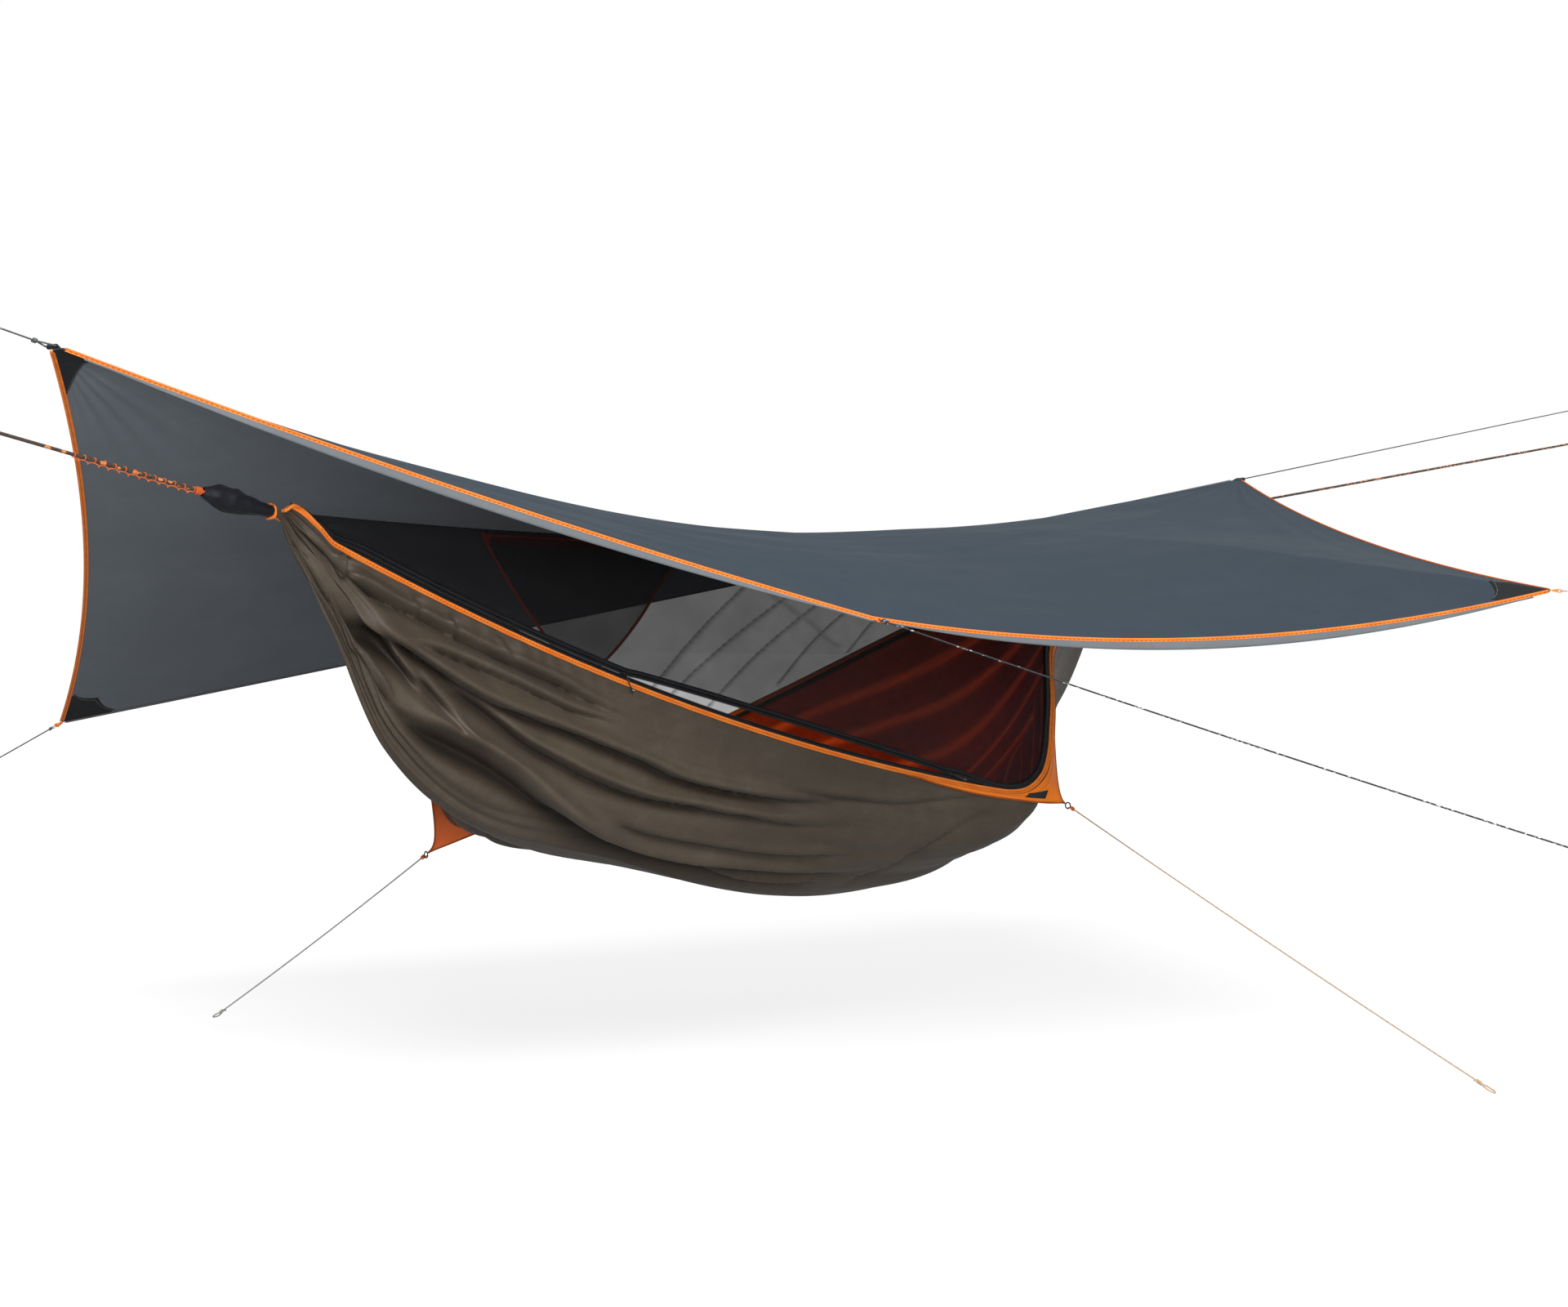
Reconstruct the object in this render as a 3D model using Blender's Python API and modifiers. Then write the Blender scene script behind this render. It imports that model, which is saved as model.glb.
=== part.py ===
"""Camping hammock under a diagonally pitched rain tarp.

A gathered-end hammock with an orange lining and a zipped bug net hangs from a sagging ridgeline.
Two side corners are drawn out by guylines, and a four-cornered tarp is pitched over it.
Everything is laid out about the middle of the ridgeline, X along the ridge, Y away from the entry
side and Z up, and is then moved so that the left anchor loop bears on the origin.
"""

import math

import bmesh
import bpy
from mathutils import Matrix, Vector

# Overall sizes, in metres
RIDGE_LENGTH = 2.566
RIDGE_RISE = 0.026
RIDGE_SAG = 0.045
SECTION_SPREAD = 1.25
SECTION_RISE = 0.9
TARP_RIDGE_SAG = 0.2125

# Corner places, measured from the middle of the ridgeline
NEAR_TIE = Vector((0.511, -0.385, -0.594))
FAR_TIE = Vector((-0.574, 0.398, -0.671))
TARP_LEFT = Vector((-1.728, 0.0, 0.244))
TARP_RIGHT = Vector((1.766, 0.0, 0.134))
TARP_NEAR = Vector((0.653, -1.424, -0.151))
TARP_FAR = Vector((-0.712, 1.441, -0.429))
TARP_SIDE = Vector((-0.516, -0.713, -0.199))

# Cloth, piping and zip
CLOTH = 0.0016
NET_CLOTH = 0.0012
GAP = 0.0005
SEAM_GAP = 0.0008
SEAT = 0.0006
LINER_GAP = 0.011
LINER_SEAM = 0.0058
LINER_RIM = 0.01
PLEAT_COUNT = 4
PLEAT_DEPTH = 0.024
PLEAT_REACH = 0.26
PLEAT_FLOOR = 0.004
PIPING_RADIUS = 0.005
BINDING_RADIUS = 0.004
HEM_DEPTH = 0.016
HEM_LEAST = 0.2
ZIP_RADIUS = 5.78
ZIP_TILT = math.radians(28)
ZIP_TAPE = 0.008
ZIP_TAPE_THICKNESS = 0.0012
ZIP_TEETH_GAP = 0.003
ZIP_LIFT = 0.024
ZIP_FIRST = 2
ZIP_LAST_FROM_END = 3
SLIDER_LEFT_AT = -0.575
SLIDER_RIGHT_AT = 0.205
SLIDER_LENGTH = 0.013
SLIDER_HEIGHT = 0.012
SLIDER_PLATE = 0.001
SLIDER_CLEARANCE = 0.0006
CROWN_DEPTH = 0.0042

# Gathered ends, ropes and cords
NECK_RADIUS = 0.007
BUNCH_WRAP = math.radians(120)
BUNCH_LENGTH = 0.034
BAND_TUBE = 0.0035
BAND_CLEARANCE = 0.0008
BAND_AT = 0.007
SLEEVE_LENGTH = 0.146
SLEEVE_WALL = 0.001
SLEEVE_END_RADIUS = 0.0158
SLEEVE_FULL_RADIUS = 0.0190
ROPE_RADIUS = 0.003
EYE_CLEARANCE = 0.0004
CORD_RADIUS = 0.0015
RIDGELINE_RADIUS = 0.002
LEFT_RISE = math.radians(11.7)
RIGHT_RISE = math.radians(7.06)
LEFT_ROPE_REACH = 0.575
RIGHT_ROPE_REACH = 2.30
DAISY_LOOPS = 12
DAISY_PITCH = 0.0205
DAISY_HEIGHT = 0.0065
DAISY_CORD = 0.0011
KNOT_LENGTH = 0.014
ANCHOR_LOOP = (0.055, 0.026)
CORD_LOOP = (0.034, 0.016)

# Rings and webbing
RING_RADIUS = 0.0066
RING_WIRE = 0.0011
TAB_WIDTH = 0.007
TAB_TUNNEL = 0.0031
TAB_WALL = 0.0012
TAB_LENGTH = 0.020
RIDGE_WEBBING_WIDTH = 0.022
CORNER_RING_RADIUS = 0.0065
CORNER_RING_WIRE = 0.0014

HALF_RIDGE = RIDGE_LENGTH / 2
UP = Vector((0, 0, 1))

PARTS = "hammock"
CUTTERS = "cutters"


def clear_scene():
    """Remove whatever objects the file opened with."""
    for item in list(bpy.data.objects):
        bpy.data.objects.remove(item, do_unlink=True)


def collection(name):
    """Return the named collection, linked under the scene."""
    found = bpy.data.collections.get(name)
    if found is None:
        found = bpy.data.collections.new(name)
        bpy.context.scene.collection.children.link(found)
    return found


def finish(name, colour, roughness, metallic=0.0):
    """A Principled material of one colour, given as sRGB hex."""
    made = bpy.data.materials.get(name)
    if made is None:
        made = bpy.data.materials.new(name)
        made.use_nodes = True
        shader = made.node_tree.nodes["Principled BSDF"]
        channels = [int(colour[i:i + 2], 16) / 255 for i in (0, 2, 4)]
        linear = [c / 12.92 if c <= 0.04045 else ((c + 0.055) / 1.055) ** 2.4 for c in channels]
        shader.inputs["Base Color"].default_value = (*linear, 1)
        shader.inputs["Roughness"].default_value = roughness
        shader.inputs["Metallic"].default_value = metallic
        made.diffuse_color = (*linear, 1)
    return made


def shell_cloth():
    return finish("brown_ripstop", "4A4238", 0.6)


def liner_cloth():
    return finish("orange_lining", "C8481C", 0.6)


def tarp_cloth():
    return finish("grey_tarp_cloth", "4F565C", 0.55)


def patch_cloth():
    return finish("dark_patch_cloth", "3A3A3A", 0.7)


def orange_tape():
    return finish("orange_tape", "F28A2E", 0.55)


def panel_cloth():
    return finish("orange_panel_cloth", "E8741C", 0.6)


def net_mesh():
    return finish("black_net", "161616", 0.8)


def zip_tape_cloth():
    return finish("black_zip_tape", "15161A", 0.7)


def black_cloth():
    return finish("black_sleeve_cloth", "1E1F22", 0.65)


def brown_rope():
    return finish("brown_rope", "5A4030", 0.8)


def grey_cord():
    return finish("grey_cord", "55585A", 0.8)


def tan_cord():
    return finish("tan_cord", "B9A488", 0.8)


def steel():
    return finish("steel", "B8BABC", 0.25, 1.0)


def black_plastic():
    return finish("black_plastic", "1A1A1A", 0.4)


def add(name, data, surface, where=PARTS):
    """Link a new object for this data, with its finish."""
    made = bpy.data.objects.new(name, data)
    collection(where).objects.link(made)
    data.materials.clear()
    data.materials.append(surface)
    return made


def smooth(mesh, angle=50):
    """Shade a mesh smooth, with sharp edges past the angle in degrees."""
    mesh.shade_smooth()
    mesh.set_sharp_from_angle(angle=math.radians(angle))


def sheet(name, columns, rows, place, surface, thickness=CLOTH, closed=False, where=PARTS):
    """A cloth made from a grid whose points are set by place(u, v), given a thickness both ways."""
    grid = bmesh.new()
    bmesh.ops.create_grid(grid, x_segments=columns, y_segments=rows, size=0.5)
    for point in grid.verts:
        point.co = place(point.co.x + 0.5, point.co.y + 0.5)
    if closed:
        bmesh.ops.remove_doubles(grid, verts=grid.verts, dist=0.00002)
    mesh = bpy.data.meshes.new(name)
    grid.to_mesh(mesh)
    grid.free()
    smooth(mesh)
    made = add(name, mesh, surface, where)
    wall = made.modifiers.new("thickness", "SOLIDIFY")
    wall.thickness = thickness
    wall.offset = 0
    return made


def tube(name, points, radius, surface, cyclic=False, resolution=2, where=PARTS):
    """A round tube along the points, with filled caps unless it closes on itself."""
    curve = bpy.data.curves.new(name, "CURVE")
    curve.dimensions = "3D"
    curve.bevel_depth = radius
    curve.bevel_resolution = resolution
    curve.use_fill_caps = not cyclic
    line = curve.splines.new("POLY")
    line.points.add(len(points) - 1)
    for held, point in zip(line.points, points):
        held.co = (*point, 1)
    line.use_cyclic_u = cyclic
    line.use_smooth = True
    return add(name, curve, surface, where)


def as_mesh(curve_object):
    """Turn a curve object into a welded mesh object of the same name."""
    bpy.context.view_layer.update()
    name = curve_object.name
    home = curve_object.users_collection[0]
    place = curve_object.matrix_world.copy()
    graph = bpy.context.evaluated_depsgraph_get()
    mesh = bpy.data.meshes.new_from_object(curve_object.evaluated_get(graph))
    surface = curve_object.data.materials[0]
    bpy.data.objects.remove(curve_object, do_unlink=True)
    welded = bmesh.new()
    welded.from_mesh(mesh)
    bmesh.ops.remove_doubles(welded, verts=welded.verts, dist=0.00002)
    bmesh.ops.recalc_face_normals(welded, faces=welded.faces)
    welded.to_mesh(mesh)
    welded.free()
    made = bpy.data.objects.new(name, mesh)
    home.objects.link(made)
    mesh.materials.clear()
    mesh.materials.append(surface)
    made.matrix_world = place
    return made


def block(name, size, surface, bevel=0.0, where=PARTS):
    """A box of this size about its own centre, with rounded edges if asked."""
    solid = bmesh.new()
    bmesh.ops.create_cube(solid, size=1)
    bmesh.ops.scale(solid, vec=size, verts=solid.verts)
    mesh = bpy.data.meshes.new(name)
    solid.to_mesh(mesh)
    solid.free()
    made = add(name, mesh, surface, where)
    if bevel:
        edge = made.modifiers.new("rounding", "BEVEL")
        edge.width = bevel
        edge.segments = 1
    return made


def turned(name, profile, surface, steps=12, where=PARTS):
    """A solid turned about Z from (radius, height) points listed from top to bottom."""
    mesh = bpy.data.meshes.new(name)
    points = [(radius, 0, height) for radius, height in profile]
    mesh.from_pydata(points, [(i, i + 1) for i in range(len(points) - 1)], [])
    made = add(name, mesh, surface, where)
    turn = made.modifiers.new("turning", "SCREW")
    turn.steps = steps
    turn.render_steps = steps
    turn.use_merge_vertices = True
    turn.merge_threshold = 0.00005
    turn.use_smooth_shade = True
    return made


def join_to(base, piece, order="UNION"):
    """Unite a cutter-collection piece with the base, or take it away."""
    cut = base.modifiers.new(piece.name, "BOOLEAN")
    cut.operation = order
    cut.object = piece
    cut.solver = "EXACT"
    piece.hide_render = True
    piece.display_type = "WIRE"


def frame_at(origin, along, upward=UP):
    """A matrix at origin whose X runs along, whose Z is as near upward as it can be."""
    x = along.normalized()
    y = upward.cross(x).normalized()
    z = x.cross(y)
    turn = Matrix((x, y, z)).transposed().to_4x4()
    return Matrix.Translation(origin) @ turn


def mix(a, b, t):
    """The point or number a share t of the way from a to b."""
    return a + (b - a) * t


def ease(t):
    """A smooth step from 0 to 1."""
    t = min(max(t, 0.0), 1.0)
    return t * t * (3 - 2 * t)


def through(points, x):
    """A smooth curve through (x, vector) pairs, read at x."""
    last = len(points) - 1
    i = 0
    while i < last - 1 and x > points[i + 1][0]:
        i += 1
    x0, p0 = points[i]
    x1, p1 = points[i + 1]
    slopes = []
    for j in (i, i + 1):
        before = max(j - 1, 0)
        after = min(j + 1, last)
        rise = points[after][1] - points[before][1]
        slopes.append(rise / (points[after][0] - points[before][0]))
    step = x1 - x0
    t = min(max((x - x0) / step, 0.0), 1.0)
    a = 2 * t ** 3 - 3 * t ** 2 + 1
    b = t ** 3 - 2 * t ** 2 + t
    c = -2 * t ** 3 + 3 * t ** 2
    d = t ** 3 - t ** 2
    return p0 * a + slopes[0] * (b * step) + p1 * c + slopes[1] * (d * step)


def spread(start, end, count):
    """Numbers from start to end, both included."""
    return [mix(start, end, i / (count - 1)) for i in range(count)]


def gather(side):
    """The middle of the gathered end on one side, -1 left and 1 right."""
    return Vector((side * HALF_RIDGE, 0, side * RIDGE_RISE / 2))


def pull_direction(side):
    """The direction in which the suspension leaves the gathered end."""
    rise = LEFT_RISE if side < 0 else RIGHT_RISE
    return Vector((side * math.cos(rise), 0, math.sin(rise)))


def ridge_height(x):
    """Height of the ridgeline, which the net draws down in the middle."""
    along = x / HALF_RIDGE
    return along * RIDGE_RISE / 2 - RIDGE_SAG * (1 - along * along)


class ZipTrack:
    """The long entry edge: an arc in the upright plane from the left gather to the near corner."""

    start = gather(-1)
    end = Vector((0.2813, -0.3357, -0.556))
    along = Vector((end.x - start.x, end.y - start.y, 0)).normalized()
    inward = UP.cross(along)
    span = (end - start).dot(along)
    chord = end - start
    middle = (start + end) / 2
    to_centre = along.cross(chord).cross(chord).normalized()
    centre = middle + (-1 if to_centre.z < 0 else 1) * to_centre * math.sqrt(
        ZIP_RADIUS ** 2 - (chord.length / 2) ** 2)

    @classmethod
    def point(cls, x):
        """The point of the arc at this x."""
        reach = (x - cls.start.x) / cls.along.x
        side = reach - (cls.centre - cls.start).dot(cls.along)
        height = cls.centre.z - math.sqrt(ZIP_RADIUS ** 2 - side ** 2)
        return cls.start + cls.along * reach + UP * (height - cls.start.z)

    @classmethod
    def across(cls, x):
        """The direction up the zip's tape at this x: towards the centre, leaning inwards."""
        radial = (cls.centre - cls.point(x)).normalized()
        return radial * math.cos(ZIP_TILT) + cls.inward * math.sin(ZIP_TILT)

    @classmethod
    def tangent(cls, x):
        """The direction of travel to the right at this x."""
        radial = (cls.centre - cls.point(x)).normalized()
        return cls.inward.cross(radial)


NEAR_SHORT_EDGE = [
    Vector((0.40, -0.365, -0.566)),
    Vector((0.47, -0.370, -0.522)),
    Vector((0.574, -0.310, -0.408)),
    Vector((0.724, -0.200, -0.267)),
    Vector((1.00, -0.085, -0.125)),
]
FAR_EDGE = [
    Vector((-1.02, 0.085, -0.155)),
    Vector((-0.80, 0.205, -0.330)),
    Vector((-0.64, 0.320, -0.500)),
    Vector((-0.54, 0.362, -0.605)),
    Vector((-0.40, 0.352, -0.598)),
    Vector((0.133, 0.247, -0.423)),
    Vector((0.607, 0.145, -0.240)),
]
BELLY = [
    Vector((-1.15, 0, -0.205)),
    Vector((-1.02, 0, -0.428)),
    Vector((-0.82, 0, -0.574)),
    Vector((-0.50, 0, -0.662)),
    Vector((0.00, 0, -0.772)),
    Vector((0.35, 0, -0.771)),
    Vector((0.66, 0, -0.662)),
    Vector((0.90, 0, -0.505)),
    Vector((1.04, 0, -0.338)),
    Vector((1.14, 0, -0.165)),
]


def with_ends(middle, lift, radius_side):
    """Add the gathered neck at both ends of an edge's own points."""
    inner = NECK_RADIUS - CLOTH / 2
    rim = Vector((0, radius_side * inner, lift * inner))
    necks = [gather(side) + rim for side in (-1, 1)]
    return necks[:1] + middle + necks[1:]


def on_curve(points, x):
    return through([(p.x, p) for p in points], x)


TRACK_END_X = ZipTrack.end.x
FAR_POINTS = with_ends(FAR_EDGE, -math.cos(BUNCH_WRAP), math.sin(BUNCH_WRAP))
BELLY_POINTS = with_ends(BELLY, -1.0, 0.0)
NEAR_END_POINTS = with_ends(NEAR_SHORT_EDGE, -math.cos(BUNCH_WRAP), -math.sin(BUNCH_WRAP))
NEAR_NECK = NEAR_END_POINTS[0]
NEAR_RIGHT = NEAR_END_POINTS[1:]
NECK_BLEND = 0.10


def near_edge(x):
    """The entry edge at x: neck, zip arc, near corner and short side."""
    if x > TRACK_END_X:
        lead = [ZipTrack.point(TRACK_END_X - 0.12), ZipTrack.point(TRACK_END_X)]
        return on_curve(lead + NEAR_RIGHT, x)
    arc = ZipTrack.point(x)
    share = ease((x + HALF_RIDGE) / NECK_BLEND)
    return Vector((x, mix(NEAR_NECK.y, arc.y, share), mix(NEAR_NECK.z, arc.z, share)))


def far_edge(x):
    return on_curve(FAR_POINTS, x)


def belly(x):
    return on_curve(BELLY_POINTS, x)


def pleat(x, v):
    """How far a pleat stands out of the cloth, deepest a little way in from each gathered end."""
    inset = HALF_RIDGE - abs(x)
    if inset <= 0:
        return 0.0
    swell = inset / PLEAT_REACH * math.exp(1 - inset / PLEAT_REACH)
    depth = PLEAT_DEPTH * swell + PLEAT_FLOOR * inset / (inset + PLEAT_REACH)
    wander = 0.35 * math.sin(2.2 * x + 0.6)
    at_belly = 0.3 + 0.7 * math.sin(abs(1 - 2 * v) * math.pi / 2)
    at_rim = math.sin(math.pi * v)
    return depth * at_belly * at_rim * math.cos(2 * math.pi * (PLEAT_COUNT * v + wander))


def bunch_point(side, reach, v):
    """A point of the gathered cloth where it passes through its band."""
    turn = (2 * v - 1) * BUNCH_WRAP
    inner = NECK_RADIUS - CLOTH / 2
    section = Vector((0, inner * math.sin(turn), -inner * math.cos(turn)))
    return gather(side) + pull_direction(side) * reach + section


def body_point(x, v, inset=0.0):
    """A point of the cloth: v is 0 at the entry edge, a half at the belly, 1 at the far edge."""
    bottom = belly(x)
    rim = near_edge(x) if v < 0.5 else far_edge(x)
    turn = abs(1 - 2 * v) * math.pi / 2
    out = math.sin(turn) ** SECTION_SPREAD
    rise = (1 - math.cos(turn)) ** SECTION_RISE
    flat = Vector((x, mix(bottom.y, rim.y, out), mix(bottom.z, rim.z, rise)))
    outwards = Vector((0, math.copysign(math.sin(turn), v - 0.5), -math.cos(turn)))
    return flat + outwards * (pleat(x, v) - inset)


NEAR_CORNER = 0.445
FAR_CORNER = -0.525
CORNER_ZONE = 0.155
STATION_SPANS = (
    (-HALF_RIDGE, FAR_CORNER - CORNER_ZONE, 7, 1.35),
    (FAR_CORNER - CORNER_ZONE, FAR_CORNER + CORNER_ZONE, 6, 1.0),
    (FAR_CORNER + CORNER_ZONE, NEAR_CORNER - CORNER_ZONE, 5, 1.0),
    (NEAR_CORNER - CORNER_ZONE, NEAR_CORNER + CORNER_ZONE, 6, 1.0),
    (NEAR_CORNER + CORNER_ZONE, HALF_RIDGE, 7, 1 / 1.35),
)
BODY_STEPS = sum(count for _, _, count, _ in STATION_SPANS)
BODY_ROWS = 16


def body_station(i):
    """The i-th station along the body; they stand closer at the corners and the necks."""
    for start, end, count, power in STATION_SPANS:
        if i <= count:
            t = i / count
            t = t ** power if power >= 1 else 1 - (1 - t) ** (1 / power)
            return mix(start, end, t)
        i -= count
    return STATION_SPANS[-1][1]


def stations(first, last):
    """The stations from one index to another, both included."""
    return [body_station(i) for i in range(first, last + 1)]


LINER_INSET = 3
PIPING_INSET = 1


def build_body():
    """The outer cloth, its lining and the piping along both edges."""
    def outer(u, v):
        i = round(u * (BODY_STEPS + 4)) - 2
        if i < 0:
            return bunch_point(-1, BUNCH_LENGTH * (-i - 0.5) / 1.5, v)
        if i > BODY_STEPS:
            return bunch_point(1, BUNCH_LENGTH * (i - BODY_STEPS - 0.5) / 1.5, v)
        if i in (0, BODY_STEPS):
            return bunch_point(-1 if i == 0 else 1, 0, v)
        return body_point(body_station(i), v)

    sheet("hammock_shell", BODY_STEPS + 4, BODY_ROWS, outer, shell_cloth())
    steps = BODY_STEPS - 2 * LINER_INSET

    def lining(u, v):
        x = body_station(LINER_INSET + round(u * steps))
        clear = min(5 * math.sin(math.pi * v), 1)
        low = min(max(v, LINER_RIM), 1 - LINER_RIM)
        return body_point(x, low, mix(LINER_SEAM, LINER_GAP, clear))

    sheet("hammock_liner", steps, BODY_ROWS, lining, liner_cloth())
    along = stations(PIPING_INSET, BODY_STEPS - PIPING_INSET)
    for name, edge in (("edge_piping_near", near_edge), ("edge_piping_far", far_edge)):
        points = [edge(x) + piping_lift(x, edge) for x in along]
        tube(name, points, PIPING_RADIUS, orange_tape(), resolution=1)


def edge_tangent(x, edge):
    return (edge(x + 0.004) - edge(x - 0.004)).normalized()


def edge_across(x, edge):
    """The direction from an edge up its net wall, square to the edge."""
    along = edge_tangent(x, edge)
    to_ridge = Vector((x, 0, ridge_height(x))) - edge(x)
    across = (to_ridge - along * to_ridge.dot(along)).normalized()
    if edge is near_edge and x < TRACK_END_X:
        return ZipTrack.across(x)
    if edge is near_edge:
        return mix(ZipTrack.across(TRACK_END_X), across, ease((x - TRACK_END_X) / 0.09)).normalized()
    return across


def piping_lift(x, edge):
    """From the rim of the cloth to the piping over it, which opens outwards at the necks."""
    neck = 1 - ease((HALF_RIDGE - abs(x)) / NECK_BLEND)
    sideways = Vector((0, -1 if edge is near_edge else 1, 0))
    direction = mix(edge_across(x, edge), sideways, neck).normalized()
    return direction * (PIPING_RADIUS + CLOTH / 2 + GAP * (1 + 2 * neck))


LOWER_TAPE_FOOT = PIPING_RADIUS * 2 + CLOTH / 2 + GAP + SEAM_GAP
UPPER_TAPE_FOOT = LOWER_TAPE_FOOT + ZIP_TAPE + ZIP_TEETH_GAP


def zip_opening(x):
    """How far the upper tape stands off between the two sliders."""
    t = (x - SLIDER_LEFT_AT) / (SLIDER_RIGHT_AT - SLIDER_LEFT_AT)
    margin = SLIDER_LENGTH / (SLIDER_RIGHT_AT - SLIDER_LEFT_AT)
    t = (t - margin) / (1 - 2 * margin)
    if t <= 0 or t >= 1:
        return 0.0
    return ZIP_LIFT * math.sin(math.pi * t) ** 0.7


def zip_point(x, height):
    return near_edge(x) + edge_across(x, near_edge) * height


def build_zip():
    """The zip's two tapes, which part between the sliders, and the sliders."""
    steps = BODY_STEPS - ZIP_FIRST - ZIP_LAST_FROM_END

    def lower(u, v):
        x = body_station(ZIP_FIRST + round(u * steps))
        return zip_point(x, LOWER_TAPE_FOOT + ZIP_TAPE * v)

    def upper(u, v):
        x = body_station(ZIP_FIRST + round(u * steps))
        return zip_point(x, UPPER_TAPE_FOOT + zip_opening(x) + ZIP_TAPE * v)

    sheet("zip_tape_lower", steps, 1, lower, zip_tape_cloth(), ZIP_TAPE_THICKNESS)
    sheet("zip_tape_upper", steps, 1, upper, zip_tape_cloth(), ZIP_TAPE_THICKNESS)
    build_slider("zip_slider_left", SLIDER_LEFT_AT, 70)
    build_slider("zip_slider_right", SLIDER_RIGHT_AT, 14)


def build_slider(name, x, hang):
    """A zip slider: two plates joined by a post between the tapes, with a tab and a pull cord."""
    across = ZipTrack.across(x)
    teeth = ZipTrack.point(x) + across * (LOWER_TAPE_FOOT + ZIP_TAPE + ZIP_TEETH_GAP / 2)
    home = frame_at(teeth, ZipTrack.tangent(x), across)
    plate_at = ZIP_TAPE_THICKNESS / 2 + SLIDER_CLEARANCE + SLIDER_PLATE / 2
    front = block(name, (SLIDER_LENGTH, SLIDER_PLATE, SLIDER_HEIGHT), black_plastic())
    front.data.transform(Matrix.Translation((0, -plate_at, 0)))
    pieces = []

    def piece(label, size, where, turn=0.0):
        made = block(name + label, size, black_plastic(), where=CUTTERS)
        made.data.transform(Matrix.Translation(where) @ Matrix.Rotation(turn, 4, "Y"))
        pieces.append(made)

    post = (0.003, 2 * plate_at, ZIP_TEETH_GAP - 3 * SLIDER_CLEARANCE)
    crown_y = -plate_at - SLIDER_PLATE / 2 - CROWN_DEPTH / 2
    tab_y = crown_y - CROWN_DEPTH / 2
    tab_length = 0.013
    piece("_back", (SLIDER_LENGTH, SLIDER_PLATE, SLIDER_HEIGHT), (0, plate_at, 0))
    piece("_post", post, (0, 0, 0))
    piece("_crown", (0.006, CROWN_DEPTH + 0.0004, 0.003), (0, crown_y + 0.0002, 0))
    lean = math.radians(hang)
    down = Vector((math.cos(lean), 0, -math.sin(lean)))
    tab_middle = Vector((0, tab_y, 0)) + down * (tab_length / 2 - 0.002)
    piece("_tab", (tab_length, 0.0014, 0.0045), tab_middle, lean)
    cord_start = Vector((0, tab_y, 0)) + down * (tab_length - 0.005)
    cord_points = [cord_start + down * step + Vector((0, -0.0009, 0)) for step in spread(0, 0.026, 4)]
    pull = as_mesh(tube(name + "_cord", cord_points, 0.0013, black_plastic(), where=CUTTERS))
    pieces.append(pull)
    knot = turned(name + "_knot", [(0, 0.003), (0.002, 0.002), (0.0026, 0), (0.002, -0.002), (0, -0.003)],
                  black_plastic(), 8, CUTTERS)
    knot_turn = Matrix.Rotation(lean + math.radians(90), 4, "Y")
    knot.matrix_world = Matrix.Translation(cord_points[-1] + down * 0.001) @ knot_turn
    pieces.append(knot)
    pivot = bpy.data.objects.new(name + "_pivot", None)
    collection(PARTS).objects.link(pivot)
    pivot.location = ZipTrack.centre
    for made in pieces:
        made.matrix_world = home @ made.matrix_world
        join_to(front, made)
    front.parent = pivot
    front.matrix_parent_inverse = Matrix.Translation(-ZipTrack.centre)
    front.matrix_basis = home


NET_FIRST = 2
NET_ROWS = 4


def build_net():
    """The bug net, laid over the ridgeline from the zip to the far edge, and its pocket."""
    ridge_lift = RIDGELINE_RADIUS + NET_CLOTH / 2 + GAP
    steps = BODY_STEPS - 2 * NET_FIRST
    rows = 2 * NET_ROWS + 1

    def wall(u, v):
        x = body_station(NET_FIRST + round(u * steps))
        row = round(v * rows)
        side = -1 if row <= NET_ROWS else 1
        share = 1 - row / NET_ROWS if side < 0 else (row - NET_ROWS - 1) / NET_ROWS
        top = Vector((x, side * ridge_lift, ridge_height(x) + ridge_lift))
        if side < 0:
            foot = zip_point(x, UPPER_TAPE_FOOT + ZIP_TAPE + zip_opening(x) + SEAM_GAP)
        else:
            foot = far_edge(x) + edge_across(x, far_edge) * LOWER_TAPE_FOOT
        point = mix(top, foot, share)
        drawn_in = 0.06 * share * (1 - share)
        return Vector((point.x, point.y * (1 - drawn_in), point.z))

    sheet("bug_net", steps, rows, wall, net_mesh(), NET_CLOTH)

    outline = [
        (-0.790, 0.0), (-0.700, -0.110), (-0.625, -0.185), (-0.545, -0.260), (-0.470, -0.226),
        (-0.380, -0.150), (-0.300, -0.060), (-0.240, 0.0),
    ]
    hang = RIDGELINE_RADIUS + SEAT
    left = outline[0][0]
    right = outline[-1][0]

    def pocket(u, v):
        x = mix(left, right, u)
        depth = through([(px, Vector((px, 0, pz))) for px, pz in outline], x).z
        top = ridge_height(x) - hang
        return Vector((x, 0, top + mix(0, depth - 0.012, v)))

    sheet("mesh_pocket", 16, 3, pocket, net_mesh(), NET_CLOTH)


def build_ridgeline():
    """The rope between the gathered ends that the net hangs on."""
    points = [Vector((x, 0, ridge_height(x))) for x in stations(1, BODY_STEPS - 1)]
    tail = CLOTH * 2
    points.insert(0, gather(-1) + pull_direction(-1) * tail)
    points.append(gather(1) + pull_direction(1) * tail)
    tube("ridgeline", points, RIDGELINE_RADIUS, grey_cord(), resolution=1)


def panel_share(s, peak, rise, fall):
    """How far a corner panel reaches towards its tip: 1 at the peak, little along its two arms."""
    arm = (peak - s) / rise if s < peak else (s - peak) / fall
    return max(1 - arm, 0.0) ** 1.25


PANEL_ARM = 0.014


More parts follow.
